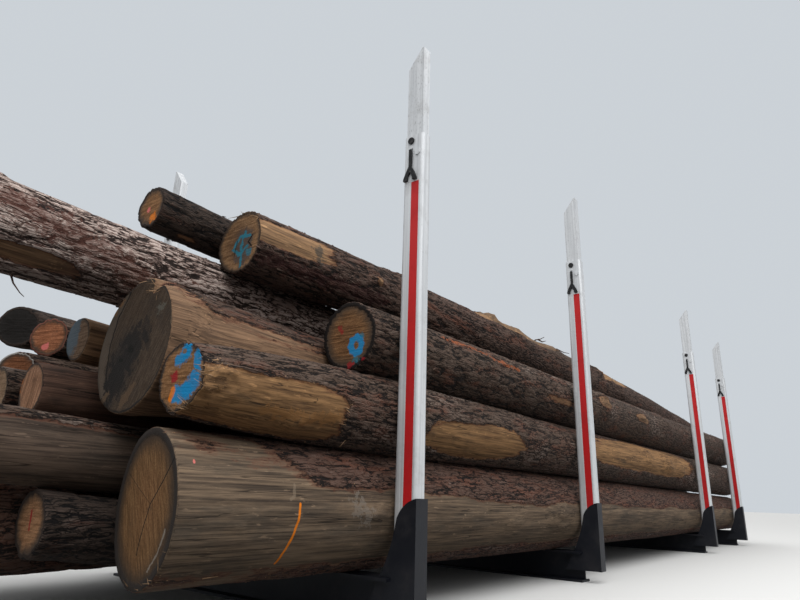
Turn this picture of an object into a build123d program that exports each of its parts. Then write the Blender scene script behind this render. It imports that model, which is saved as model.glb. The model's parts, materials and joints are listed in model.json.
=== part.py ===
from build123d import *
from bisect import bisect_right
from dataclasses import dataclass
import math
import os

# A stack of hardwood logs held by four stake bunks, in millimetres.
# X runs along the logs (the measured ends are at -X), -Y is the near side and
# Z = 0 is the underside of the bolsters. The origin is the middle of the footprint.

os.makedirs("parts", exist_ok=True)

# Bunks
bunk_width = 2520.0
bunk_places = (-3792.0, -1570.0, 2260.0, 4293.0)
bolster_height = 200.0
flange_width = 140.0
flange_thickness = 14.0
web_thickness = 12.0

# Stakes and what they stand in
stake_across = 128.0
stake_along = 78.0
stake_corner = 20.0
stake_wall_across = 12.0
stake_wall_along = 8.0
stake_top = 2430.0
root_wall = 6.0
root_foot = 77.0
root_floor = 18.0
root_shoulder = 536.0
root_reach = 262.0
root_crown = 108.0
seat_gap = 0.4

# Telescoping extensions
slide_gap = 0.5
extension_wall = 5.0
extension_length = 1125.0
extension_out = 575.0
extension_rise = 120.0
tip_flat = 12.0
crescent_width = 66.0
crescent_height = 30.0
crescent_line = 13.0
crescent_depth = 3.5

# Latches
pin_radius = 9.0
pin_gap = 0.3
pin_nose = 9.0
pin_head_radius = 20.0
pin_head_height = 7.0
pin_below_top = 34.0
pin_offset = 14.0
window_width = 20.0
window_height = 112.0
window_below_pin = 46.0
lever_width = 84.0
lever_height = 82.0
lever_gap = 4.0
lever_leg = 24.0
tongue_height = 104.0
boss_offset = 44.0
lever_thickness = 12.0
tongue_width = 16.0
boss_across = 26.0
boss_along = 44.0
boss_height = 7.0

# Faces worked out from the sizes above
stake_outer = bunk_width / 2 - root_wall - seat_gap
stake_inner = stake_outer - stake_across
stake_middle = stake_outer - stake_across / 2
extension_tip = stake_top + extension_out
extension_foot = extension_tip - extension_length
pin_height = stake_top - pin_below_top
window_foot = pin_height - window_below_pin - window_height
extension_across = stake_across - 2 * stake_wall_across - 2 * slide_gap
extension_along = stake_along - 2 * stake_wall_along - 2 * slide_gap

# Logs
outline_points = 20
rest_gap = 0.5
roll_limit = 32.0
lean_gap = 2.0
ledge_shift = 62.0
ledge_drop = 34.0
ledge_room = 12.0
ledge_run_in = 5.0
first_bunk = bunk_places[0]
last_bunk = bunk_places[-1]


@dataclass
class Log:
    """One log: its near end, length, heart line, radii and the shape of its outline."""

    name: str
    near: float
    length: float
    side_near: float
    side_far: float
    radius_near: float
    radius_far: float
    oval: float = 0.03
    lobe: float = 0.015
    turn: float = 0.0
    bow: float = 0.0
    flare: float = 0.0
    flare_length: float = 700.0
    notch: float = 0.0
    notch_at: float = 70.0
    slant: float = 0.0
    sweep: float = 0.0
    arch: float = 0.0
    ledge: float = 0.0
    stations: tuple = (0.0, 0.5, 1.0)
    base: float = 0.0
    rise: float = 0.0
    roll_near: float = 0.0
    roll_far: float = 0.0

    def girth(self):
        """A radius that no part of the log reaches past."""
        return 1.15 * max(self.radius_near + self.flare, self.radius_far)

    def heart_side(self, x):
        """Sideways place of the heart at x, with the bow between the bunks."""
        share = (x - first_bunk) / (last_bunk - first_bunk)
        hundredths = self.side_near + share * (self.side_far - self.side_near)
        straight = hundredths * stake_inner / 100 + self.roll_near * (1 - share)
        return straight + self.roll_far * share + self.bow * (1 - (2 * share - 1) ** 2)

    def heart_height(self, x):
        """Height of the heart at x, once the log has come to rest."""
        return self.base + self.rise * (x - first_bunk) + self.curve(x)

    def lift(self, t):
        """Rise of the heart over a straight line: an arch, and an upswept near end."""
        x = self.near + t * self.length
        share = (x - first_bunk) / (last_bunk - first_bunk)
        past = max(0.0, first_bunk - x) / (first_bunk - self.near)
        return self.arch * (1 - (2 * share - 1) ** 2) + self.sweep * past**2

    def span(self, t):
        """The two stations on either side of fraction t, and how far t is between them."""
        for a, b in zip(self.stations, self.stations[1:]):
            if t <= b + 1e-9:
                break
        return a, b, (t - a) / (b - a)

    def curve(self, x):
        """Rise of the heart at x, straight between the stations as the faces are."""
        a, b, share = self.span((x - self.near) / self.length)
        return self.lift(a) + share * (self.lift(b) - self.lift(a))

    def outline(self, t, count, gap=0.0):
        """Outline (side, height above the heart line) at fraction t, wider by a gap."""
        x = self.near + t * self.length
        mean = self.radius_near + t * (self.radius_far - self.radius_near)
        past = t * self.length / self.flare_length
        mean += self.flare * max(0.0, 1 - past) ** 2
        mean *= 1 + 0.012 * math.sin(9 * t + self.turn / 20)
        points = []
        for k in range(count):
            angle = 2 * math.pi * k / count
            turned = angle - math.radians(self.turn)
            r = mean * (1 + self.oval * math.cos(2 * turned) + self.lobe * math.cos(3 * turned))
            if self.notch and t == 0:
                away = math.degrees(angle) - self.notch_at
                r -= self.notch * math.exp(-((away / 20) ** 2))
            r += gap
            points.append((self.heart_side(x) + r * math.cos(angle), r * math.sin(angle)))
        return points

    def outline_at(self, x, count, gap=0.0):
        """Outline at any x, straight between the stations as the faces are."""
        a, b, share = self.span((x - self.near) / self.length)
        first, second = self.outline(a, count, gap), self.outline(b, count, gap)
        return [
            (p[0] + share * (q[0] - p[0]), p[1] + share * (q[1] - p[1]))
            for p, q in zip(first, second)
        ]


# In the order in which they were laid. The two sides are hundredths of the way from the
# middle out to the stakes, at the first and at the last bunk.
logs = [
    Log("log_02", -5070, 10100, -37.0, -40.6, 124, 166, turn=40, bow=4, sweep=85,
        stations=(0.0, 0.06, 0.13, 0.42, 0.72, 1.0)),
    Log("log_01", -4885, 10100, -75.3, -78.4, 280, 236, oval=0.02, turn=70, slant=9,
        stations=(0.0, 0.03, 0.27, 0.51, 0.76, 1.0)),
    Log("log_03", -5400, 10100, -9.8, -10.5, 205, 170, turn=15,
        stations=(0.0, 0.25, 0.5, 0.75, 1.0)),
    Log("log_04", -5100, 10100, 22.4, 21.3, 156, 168, turn=132, stations=(0.0, 1.0)),
    Log("log_05", -5250, 10100, 51.9, 51.2, 168, 154, turn=92, stations=(0.0, 1.0)),
    Log("log_06", -4950, 10100, 83.2, 80.0, 168, 160, oval=0.015, turn=10,
        stations=(0.0, 1.0)),
    Log("log_07", -4882, 10100, -84.1, -79.1, 179, 228, oval=0.015, turn=30, flare=-42,
        stations=(0.0, 0.015, 0.035, 0.07, 0.3, 0.53, 0.76, 1.0)),
    Log("log_08", -5350, 10100, -32.4, -29.7, 142, 160, turn=80, sweep=60,
        stations=(0.0, 0.07, 0.16, 0.58, 1.0)),
    Log("log_09", -4900, 9100, 6.4, 6.0, 158, 147, turn=0, stations=(0.0, 1.0)),
    Log("log_10", -5000, 10100, 37.8, 36.6, 136, 144, turn=50, stations=(0.0, 1.0)),
    Log("log_11", -5150, 10100, 66.8, 66.8, 142, 132, turn=20, stations=(0.0, 1.0)),
    Log("log_12", -4800, 9100, 89.6, 89.6, 108, 104, oval=0.01, stations=(0.0, 1.0)),
    Log("log_13", -4870, 9100, -48.2, -40.5, 270, 234, oval=0.02, lobe=0.02, turn=20,
        flare=30, notch=34, notch_at=62, ledge=75, stations=(0.0, 0.03, 0.08, 0.38, 0.7, 1.0)),
    Log("log_14", -5040, 9100, -4.0, -5.5, 128, 120, turn=60),
    Log("log_15", -5050, 10100, 22.2, 22.2, 130, 122, turn=35, stations=(0.0, 1.0)),
    Log("log_16", -4950, 10100, 51.1, 51.1, 132, 124, turn=75, stations=(0.0, 1.0)),
    Log("log_17", -5200, 10100, 80.6, 80.4, 146, 134, turn=5, stations=(0.0, 1.0)),
    Log("log_18", -3982, 9100, -82.6, -79.1, 178, 226, oval=0.015, turn=55,
        stations=(0.0, 0.25, 0.5, 0.75, 1.0)),
    Log("log_19", -4860, 9100, -3.5, -2.7, 116, 112, turn=25, sweep=30,
        stations=(0.0, 0.06, 0.12, 1.0)),
    Log("log_20", -4930, 9100, 37.3, 37.3, 90, 92, turn=0, slant=-30,
        stations=(0.0, 0.03, 1.0)),
    Log("log_21", -4700, 9100, 61.3, 61.3, 102, 106, turn=45, stations=(0.0, 1.0)),
    Log("log_22", -4850, 9100, 69.2, 84.0, 116, 114, turn=65, slant=-32,
        stations=(0.0, 0.03, 1.0)),
    Log("log_23", -4800, 9100, 40.0, 45.0, 108, 104, turn=0, slant=-24,
        stations=(0.0, 0.03, 1.0)),
    Log("log_24", -3500, 8100, -62.5, -51.0, 116, 104, turn=0, stations=(0.0, 1.0)),
    Log("log_25", -5450, 11000, -26.7, -25.8, 184, 150, oval=0.025, turn=35, bow=10,
        stations=(0.0, 0.1, 0.4, 0.7, 1.0)),
    Log("log_26", -4420, 9100, -53.1, -50.6, 168, 186, oval=0.02, turn=5, bow=-12, arch=60,
        stations=(0.0, 0.1, 0.35, 0.65, 1.0)),
    Log("log_27", -4770, 8100, -28.6, -21.0, 112, 92, turn=15),
]


def chains(outline):
    """Upper and lower edge of an outline, each sorted from side to side."""
    half = len(outline) // 2
    upper = sorted(outline[: half + 1])
    lower = sorted(outline[half:] + outline[:1])
    return upper, lower


def read(chain, side):
    """Height of a sorted chain at one side position."""
    k = min(max(bisect_right(chain, (side, -1e9)), 1), len(chain) - 1)
    (y0, z0), (y1, z1) = chain[k - 1], chain[k]
    return z0 if y1 == y0 else z0 + (z1 - z0) * (side - y0) / (y1 - y0)


def contact(under, over):
    """How far the heart of the upper outline lies above that of the lower one."""
    low = max(under[0][0], over[0][0])
    high = min(under[-1][0], over[-1][0])
    if low >= high:
        return None
    best = -1e9
    for _ in range(3):
        step = (high - low) / 16
        sides = [low + k * step for k in range(17)]
        heights = [read(under, y) - read(over, y) for y in sides]
        top = max(range(17), key=lambda k: heights[k])
        best = max(best, heights[top])
        low, high = sides[max(top - 1, 0)], sides[min(top + 1, 16)]
    return best


def resting(log, laid, steps, count):
    """Height at the middle, slope and height at X = 0 of the log lowered on to what is under it."""
    far = log.near + log.length
    places = [log.near + k * log.length / steps for k in range(steps + 1)]
    for middle in bunk_places:
        places += [middle - flange_width / 2, middle + flange_width / 2]
    if steps > 20:
        for one in [log, *laid]:
            places += [one.near + t * one.length for t in one.stations]
    places = sorted(set(x for x in places if log.near <= x <= far))
    needs = []
    for x in places:
        over = chains(log.outline_at(x, count, rest_gap))[1]
        need = -1e9
        if any(abs(x - middle) <= flange_width / 2 + 1e-6 for middle in bunk_places):
            need = bolster_height - min(z for y, z in over)
        for other in laid:
            if not other.near <= x <= other.near + other.length:
                continue
            if abs(other.heart_side(x) - log.heart_side(x)) > other.girth() + log.girth():
                continue
            lift = contact(other.edges(x), over)
            if lift is not None:
                need = max(need, other.heart_height(x) + lift)
        if need > -1e8:
            needs.append((x, need - log.curve(x)))
    middle = log.near + log.length * 0.48
    best = (-1e9, 0.0, 0.0)
    for x0, z0 in needs:
        for x1, z1 in needs:
            if x0 <= middle < x1:
                rise = (z1 - z0) / (x1 - x0)
                at_middle = z0 + rise * (middle - x0)
                if at_middle > best[0]:
                    best = (at_middle, rise, z0 - rise * x0)
    return best


def stake_room(log):
    """Smallest gap between the log and the inner faces of the stakes."""
    room = 1e9
    for x in bunk_places:
        if log.near < x < log.near + log.length:
            reach = max(abs(y) for y, z in log.outline_at(x, 48))
            room = min(room, stake_inner - reach)
    return room


def lean_in(log):
    """Shift a log sideways until it lies between the stakes."""
    for _ in range(8):
        for x, share in ((first_bunk, 0), (last_bunk, 1)):
            x = min(max(x, log.near), log.near + log.length)
            sides = [y for y, z in log.outline_at(x, 48)]
            limit = stake_inner - lean_gap
            over = max(0.0, max(sides) - limit) - max(0.0, -limit - min(sides))
            log.roll_near -= over * (1 - share)
            log.roll_far -= over * share


def roll_down(log, laid):
    """Let a log roll a little sideways, at either end or both, while that lowers it."""
    height = resting(log, laid, 12, 48)[0]
    start_near, start_far = log.roll_near, log.roll_far
    for step in (roll_limit / 2, roll_limit / 5):
        moves = [(step, step), (step, 0), (0, step)]
        moves += [(-near, -far) for near, far in moves]
        moved = True
        while moved:
            moved = False
            for near, far in moves:
                log.roll_near += near
                log.roll_far += far
                travel = max(abs(log.roll_near - start_near), abs(log.roll_far - start_far))
                free = travel <= roll_limit and stake_room(log) > lean_gap
                tried = resting(log, laid, 12, 48)[0] if free else 1e9
                if tried < height - 0.4:
                    height, moved = tried, True
                else:
                    log.roll_near -= near
                    log.roll_far -= far


def come_to_rest(log, laid):
    """Roll a log into the nearest hollow and lower it until it bears at two places."""
    lean_in(log)
    roll_down(log, laid)
    at_middle, log.rise, at_origin = resting(log, laid, 48, 120)
    log.base = at_origin + log.rise * first_bunk


def upper_edge(log):
    """A reader of the log's upper edge that keeps what it has worked out."""
    kept = {}

    def edge(x):
        if x not in kept:
            kept[x] = chains(log.outline_at(x, 120))[0]
        return kept[x]

    return edge


laid = []
for log in logs:
    come_to_rest(log, laid)
    log.edges = upper_edge(log)
    laid.append(log)

# Every outline is drawn at the same even steps, so that the faces between two of them
# run straight along the log
even_steps = [k / outline_points for k in range(outline_points + 1)]
for log in logs:
    with BuildPart() as body:
        slope = math.radians(log.slant)
        reach = 1.3 * log.radius_near * math.tan(abs(slope)) / log.length
        for t in (log.stations[0] - reach, *log.stations[1:]):
            x = log.near + t * log.length
            ring = log.outline(t, outline_points)
            with BuildSketch(Plane(origin=(x, 0, log.heart_height(x)), x_dir=(0, 1, 0),
                                   z_dir=(1, 0, 0))):
                with BuildLine():
                    add(Edge.make_spline(ring, periodic=True, parameters=even_steps))
                make_face()
        loft(ruled=True)
        if log.slant:
            heart = (log.near, log.heart_side(log.near), log.heart_height(log.near))
            split(bisect_by=Plane(origin=heart, z_dir=(math.cos(slope), -math.sin(slope), 0)))
        if log.ledge:
            side, height = log.heart_side(log.near), log.heart_height(log.near)
            with BuildSketch(Plane(origin=(log.near - ledge_run_in, side, height),
                                   x_dir=(0, 1, 0), z_dir=(1, 0, 0))):
                Rectangle(4 * log.radius_near, 4 * log.radius_near)
                with Locations((-ledge_shift, -ledge_drop)):
                    Circle(log.radius_near + log.flare + ledge_room, mode=Mode.SUBTRACT)
            extrude(amount=ledge_run_in + log.ledge, mode=Mode.SUBTRACT)
    body.part.label = log.name
    export_step(body.part, f"parts/{log.name}.step")


def root_profile():
    """Curved root that holds a stake, drawn at the near side across the row."""
    outer, deep = -bunk_width / 2, root_shoulder - bolster_height
    with BuildLine(mode=Mode.PRIVATE) as line:
        crown = ThreePointArc((outer, root_shoulder), (outer + 0.6 * root_crown, root_shoulder - 30),
                              (outer + root_crown, root_shoulder - 0.26 * deep))
        flank = ThreePointArc(crown @ 1, (outer + 0.52 * root_reach, bolster_height + 0.4 * deep),
                              (outer + 0.75 * root_reach, bolster_height))
        Polyline(flank @ 1, (outer + 0.94 * root_reach, root_foot + 24),
                 (outer + root_reach, root_foot), (outer, root_foot), crown @ 0)
    return line.edges()


# Bolsters, each one welding with its two roots
for number, place in enumerate(bunk_places, start=1):
    with BuildPart() as bolster:
        half = stake_inner
        with BuildSketch(Plane(origin=(place, -half, 0), x_dir=(1, 0, 0), z_dir=(0, 1, 0))):
            with Locations((0, -flange_thickness / 2), (0, flange_thickness / 2 - bolster_height)):
                Rectangle(flange_width, flange_thickness)
            with Locations((0, -bolster_height / 2)):
                Rectangle(web_thickness, bolster_height)
        extrude(amount=2 * half)
        root_along = stake_along + 2 * (root_wall + seat_gap)
        with BuildSketch(Plane(origin=(place, 0, 0), x_dir=(0, 1, 0), z_dir=(1, 0, 0))):
            make_face(root_profile())
            mirror(about=Plane.YZ)
        extrude(amount=root_along / 2, both=True)
        for side in (-1, 1):
            with BuildSketch(Plane.XY.offset(root_foot + root_floor)):
                with Locations((place, side * stake_middle)):
                    Rectangle(stake_along + 2 * seat_gap, stake_across + 2 * seat_gap)
            extrude(amount=root_shoulder, mode=Mode.SUBTRACT)
    bolster.part.label = f"bolster_{number}"
    export_step(bolster.part, f"parts/bolster_{number}.step")

# Stakes and their extensions
stake_foot = root_foot + root_floor + seat_gap
for number, place in enumerate(bunk_places, start=1):
    for side, word in ((-1, "near"), (1, "far")):
        middle = side * stake_middle
        face = place - stake_along / 2
        pin_side = side * (stake_middle - pin_offset)
        with BuildPart() as stake:
            with BuildSketch(Plane.XY.offset(stake_foot)):
                with Locations((place, middle)):
                    RectangleRounded(stake_along, stake_across, stake_corner)
                    Rectangle(stake_along - 2 * stake_wall_along,
                              stake_across - 2 * stake_wall_across, mode=Mode.SUBTRACT)
            extrude(amount=stake_top - stake_foot)
            with BuildSketch(Plane(origin=(face, pin_side, 0), x_dir=(0, 1, 0), z_dir=(1, 0, 0))):
                with Locations((0, window_foot + window_height / 2)):
                    Rectangle(window_width, window_height)
            extrude(amount=stake_wall_along, mode=Mode.SUBTRACT)
            with BuildSketch(Plane(origin=(face, pin_side, 0), x_dir=(0, 1, 0), z_dir=(1, 0, 0))):
                with Locations((0, pin_height)):
                    Circle(pin_radius + pin_gap)
            extrude(amount=stake_wall_along, mode=Mode.SUBTRACT)
            with BuildSketch(Plane(origin=(face, pin_side, 0), x_dir=(0, 1, 0), z_dir=(1, 0, 0))):
                with Locations((side * boss_offset, window_foot + 0.72 * window_height)):
                    Polygon((0, -boss_along / 2), (side * boss_across / 2, -boss_along / 5),
                            (side * boss_across / 2, boss_along / 4), (0, boss_along / 2),
                            (-side * boss_across / 2, boss_along / 6),
                            (-side * boss_across / 2, -boss_along / 3), align=None)
            extrude(amount=-boss_height)
        stake.part.label = f"stake_{number}_{word}"
        export_step(stake.part, f"parts/stake_{number}_{word}.step")

        with BuildPart() as extension:
            outer, inner = side * extension_across / 2, -side * extension_across / 2
            across = Plane(origin=(place, middle, 0), x_dir=(0, 1, 0), z_dir=(1, 0, 0))
            with BuildSketch(across):
                with BuildLine():
                    Polyline(
                        (outer, extension_foot), (outer, extension_tip),
                        (outer - side * tip_flat, extension_tip),
                        (inner, extension_tip - extension_rise), (inner, extension_foot),
                        close=True,
                    )
                make_face()
            extrude(amount=extension_along / 2, both=True)
            wall = extension_wall
            with BuildSketch(across):
                with BuildLine():
                    Polyline(
                        (outer - side * wall, extension_foot),
                        (outer - side * wall, extension_tip - 2 * wall),
                        (outer - side * (tip_flat + wall), extension_tip - 2 * wall),
                        (inner + side * wall, extension_tip - extension_rise - wall),
                        (inner + side * wall, extension_foot),
                        close=True,
                    )
                make_face()
            extrude(amount=extension_along / 2 - wall, both=True, mode=Mode.SUBTRACT)
            with BuildSketch(across.offset(-extension_along / 2)):
                with Locations(Location((side * 2, extension_tip - extension_rise, 0),
                                        (0, 0, side * 14))):
                    with BuildLine():
                        lower = ThreePointArc((-crescent_width / 2, 0), (0, -crescent_height),
                                              (crescent_width / 2, 0))
                        ThreePointArc(lower @ 1, (0, crescent_line - crescent_height), lower @ 0)
                    make_face()
            extrude(amount=crescent_depth, mode=Mode.SUBTRACT)
            with BuildSketch(across.offset(-extension_along / 2)):
                with Locations((-side * pin_offset, pin_height)):
                    Circle(pin_radius + pin_gap)
            extrude(amount=extension_wall, mode=Mode.SUBTRACT)
        extension.part.label = f"extension_{number}_{word}"
        export_step(extension.part, f"parts/extension_{number}_{word}.step")

# Latch pins and levers, one of each at every stake
with BuildPart() as latch_pins:
    for place in bunk_places:
        for side in (-1, 1):
            face = place - stake_along / 2
            pin_side = side * (stake_middle - pin_offset)
            with BuildSketch(Plane(origin=(face - seat_gap, pin_side, pin_height),
                                   x_dir=(0, 1, 0), z_dir=(1, 0, 0))):
                Circle(pin_radius)
            extrude(amount=seat_gap + stake_wall_along + slide_gap + extension_wall + pin_nose)
            with BuildSketch(Plane(origin=(face - seat_gap, pin_side, pin_height),
                                   x_dir=(0, 1, 0), z_dir=(-1, 0, 0))):
                Circle(pin_head_radius)
            extrude(amount=pin_head_height)
latch_pins.part.label = "latch_pins"
export_step(latch_pins.part, "parts/latch_pins.step")

with BuildPart() as latch_levers:
    for place in bunk_places:
        for side in (-1, 1):
            face = place - stake_along / 2
            pin_side = side * (stake_middle - pin_offset)
            shelf = window_foot - lever_gap
            with BuildSketch(Plane(origin=(face - seat_gap, pin_side, 0), x_dir=(0, 1, 0),
                                   z_dir=(1, 0, 0))):
                with BuildLine():
                    Polyline(
                        (0, shelf + tongue_height), (tongue_width / 2, shelf + tongue_height),
                        (tongue_width / 2, shelf), (lever_width / 3, shelf - 0.45 * lever_height),
                        (lever_width / 2, shelf - 0.85 * lever_height),
                        (lever_width / 2, shelf - lever_height),
                        (lever_width / 2 - lever_leg, shelf - lever_height),
                        (lever_width / 2 - 1.3 * lever_leg, shelf - 0.62 * lever_height),
                        (0, shelf - 0.4 * lever_height), (0, shelf + tongue_height),
                    )
                make_face()
                mirror(about=Plane.YZ)
            extrude(amount=-lever_thickness)
latch_levers.part.label = "latch_levers"
export_step(latch_levers.part, "parts/latch_levers.step")
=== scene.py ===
"""Looks of a stack of logs that lies between eight upright stakes on four bolsters."""

import json
import logging
import math
from dataclasses import dataclass, replace
from enum import Enum

import bpy
import numpy as np
from mathutils import Matrix, Vector

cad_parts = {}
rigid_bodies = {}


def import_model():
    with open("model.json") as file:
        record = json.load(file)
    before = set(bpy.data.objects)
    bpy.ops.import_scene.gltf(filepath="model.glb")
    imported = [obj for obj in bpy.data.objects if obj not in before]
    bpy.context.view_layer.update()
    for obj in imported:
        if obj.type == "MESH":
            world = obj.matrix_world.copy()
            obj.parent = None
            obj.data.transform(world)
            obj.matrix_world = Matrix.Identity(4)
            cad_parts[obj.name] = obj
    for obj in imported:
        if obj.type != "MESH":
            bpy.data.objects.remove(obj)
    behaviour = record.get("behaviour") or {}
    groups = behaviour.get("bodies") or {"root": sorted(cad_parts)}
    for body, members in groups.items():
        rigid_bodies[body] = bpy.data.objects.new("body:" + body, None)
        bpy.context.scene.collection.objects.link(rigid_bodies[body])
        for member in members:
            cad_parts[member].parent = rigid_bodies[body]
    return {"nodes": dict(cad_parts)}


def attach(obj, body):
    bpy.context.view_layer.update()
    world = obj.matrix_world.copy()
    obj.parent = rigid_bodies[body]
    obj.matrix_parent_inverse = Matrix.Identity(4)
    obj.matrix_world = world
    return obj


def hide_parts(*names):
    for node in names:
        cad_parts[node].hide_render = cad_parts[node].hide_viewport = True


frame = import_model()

log = logging.getLogger("log_stack")

Colour = tuple[float, float, float]
Point = tuple[float, float, float]
Pair = tuple[float, float]
Socket = bpy.types.NodeSocket


class Ground(Enum):
    """What covers a log where no patch says otherwise."""

    BARK = 1.0
    BARE = -1.0


class Face(Enum):
    """Material slots of a log's mesh."""

    SIDE = 0
    NEAR_END = 1
    FAR_END = 2


def smooth_step(low: float, high: float, value: np.ndarray) -> np.ndarray:
    """Rise smoothly from 0 at low to 1 at high."""
    share = np.clip((value - low) / (high - low), 0.0, 1.0)
    return share * share * (3 - 2 * share)


CELL_PRIMES = (73856093, 19349663, 83492791)
MIXERS = (668265263, 1274126177, 2246822519)
WORD = 0xFFFFFFFF
TOP_CODE = 0xFFFF


def scatter_code(key: np.ndarray, seed: int) -> np.ndarray:
    """A whole number up to TOP_CODE for each cell of a grid, the same on every run."""
    code = np.bitwise_xor.reduce(key * np.array(CELL_PRIMES), axis=1)
    code = ((code ^ seed * MIXERS[0]) & WORD) * MIXERS[1] & WORD
    code = (code ^ code >> 15) * MIXERS[2] & WORD
    return (code ^ code >> 13) & TOP_CODE


def lattice_noise(points: np.ndarray, seed: int) -> np.ndarray:
    """Smooth noise from -1 to 1.

    Args:
        points: Places to read, as rows of three numbers.
        seed: Which field of noise to read.

    Returns:
        One value for each place.
    """
    cell = np.floor(points).astype(np.int64)
    part = points - cell
    part = part * part * (3 - 2 * part)
    total = np.zeros(len(points))
    for corner in range(8):
        step = np.array([corner & 1, corner >> 1 & 1, corner >> 2 & 1])
        weight = np.prod(np.where(step == 1, part, 1 - part), axis=1)
        total += weight * scatter_code(cell + step, seed)
    return total / (TOP_CODE / 2) - 1


def cloud(points: np.ndarray, scale: Point, seed: int, octaves: int = 3) -> np.ndarray:
    """Noise of several sizes laid over each other.

    Args:
        points: Places to read, in metres.
        scale: Waves per metre along each axis.
        seed: Which field of noise to read.
        octaves: How many sizes, each half as large as the last.

    Returns:
        One value from about -1 to 1 for each place.
    """
    total, size, weight = np.zeros(len(points)), np.array(scale, float), 1.0
    for k in range(octaves):
        total += weight * lattice_noise(points * size + 17.3 * k, seed + k)
        size, weight = size * 2.03, weight * 0.5
    return total / (2 - 2 * weight)


@dataclass(frozen=True)
class Patch:
    """An area of bark, bare wood or splinters, by its distance along a log and its angle round it."""

    along: float
    angle: float
    half_length: float
    half_angle: float
    cover: Ground = Ground.BARE
    power: float = 3.0

    def reach(self, along: np.ndarray, angle: np.ndarray, girth: float) -> np.ndarray:
        """Distance in metres to the patch's edge, positive inside.

        Args:
            along: Distances from the near end.
            angle: Angles round the log in degrees.
            girth: The log's radius.

        Returns:
            One distance for each place.
        """
        wide = math.radians(self.half_angle) * girth
        across = (angle - self.angle + 180) % 360 - 180
        u = np.abs(along - self.along) / self.half_length
        v = np.abs(across) / self.half_angle
        inside = 1 - (u**self.power + v**self.power) ** (1 / self.power)
        return inside * min(self.half_length, wide)


@dataclass(frozen=True)
class Knot:
    """A swelling, a branch stub or a hollow on a log."""

    along: float
    angle: float
    radius: float
    height: float


@dataclass(frozen=True)
class Mark:
    """A crack or a stroke of paint along a broken line.

    Its corners are points in metres, or, on a side that isn't built yet, distances from the log's
    near end and angles round it in degrees.
    """

    corners: tuple[tuple[float, ...], ...]
    width: float
    colour: Colour
    ragged: float = 0.35
    strength: float = 1.0


@dataclass(frozen=True)
class BarkFinish:
    """Colours and size of the ridges of one log's bark."""

    ridge: Colour = (0.085, 0.056, 0.041)
    furrow: Colour = (0.010, 0.007, 0.006)
    rust: Colour = (0.135, 0.046, 0.025)
    pale: Colour = (0.25, 0.195, 0.165)
    rust_share: float = 0.45
    pale_share: float = 0.35
    plate: Point = (7.0, 46.0, 46.0)
    depth: float = 0.010

    @property
    def rust_from(self) -> float:
        """Noise above which the ridges are rusty."""
        return 0.66 - 0.3 * self.rust_share

    @property
    def pale_from(self) -> float:
        """Noise above which the ridges are pale."""
        return 0.70 - 0.4 * self.pale_share


@dataclass(frozen=True)
class WoodFinish:
    """Colours of the bare wood of one log's side."""

    light: Colour = (0.30, 0.175, 0.095)
    dark: Colour = (0.085, 0.050, 0.030)
    grey: Colour = (0.085, 0.062, 0.045)
    grey_share: float = 0.45


@dataclass(frozen=True)
class EndFinish:
    """Colours of one sawn end."""

    heart: Colour = (0.33, 0.175, 0.078)
    outer: Colour = (0.40, 0.225, 0.105)
    rim: Colour = (0.030, 0.021, 0.017)
    stain: Colour = (0.055, 0.040, 0.030)
    stain_share: float = 0.25
    rim_width: float = 0.016
    saw_angle: float = 0.0
    saw_depth: float = 0.5


@dataclass(frozen=True)
class LogLook:
    """Everything that tells one log from the next."""

    node: str
    across: int = 72
    fine_step: float = 0.05
    fine_length: float = 1.0
    coarse_step: float = 0.3
    ground: Ground = Ground.BARK
    patches: tuple[Patch, ...] = ()
    knots: tuple[Knot, ...] = ()
    frayed: tuple[Patch, ...] = ()
    edge_fray: float = 0.35
    splinters: float = 0.0
    flakes: float = 0.0
    ridge_height: float = 0.008
    bark_depth: float = 0.009
    lumps: float = 0.006
    bark: BarkFinish = BarkFinish()
    wood: WoodFinish = WoodFinish()
    end: EndFinish = EndFinish()
    side_marks: tuple[Mark, ...] = ()
    end_marks: tuple[Mark, ...] = ()
    pith: Pair | None = None
    harmonics: int = 10
    end_rings: int = 6
    ledge: float = 0.0


@dataclass(frozen=True)
class Twig:
    """Twigs or torn fibres on one log, each a tapered round rod along a broken line."""

    name: str
    node: str
    cover: Ground
    thickness: float
    taper: float
    lines: tuple[tuple[Point, ...], ...]


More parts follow.
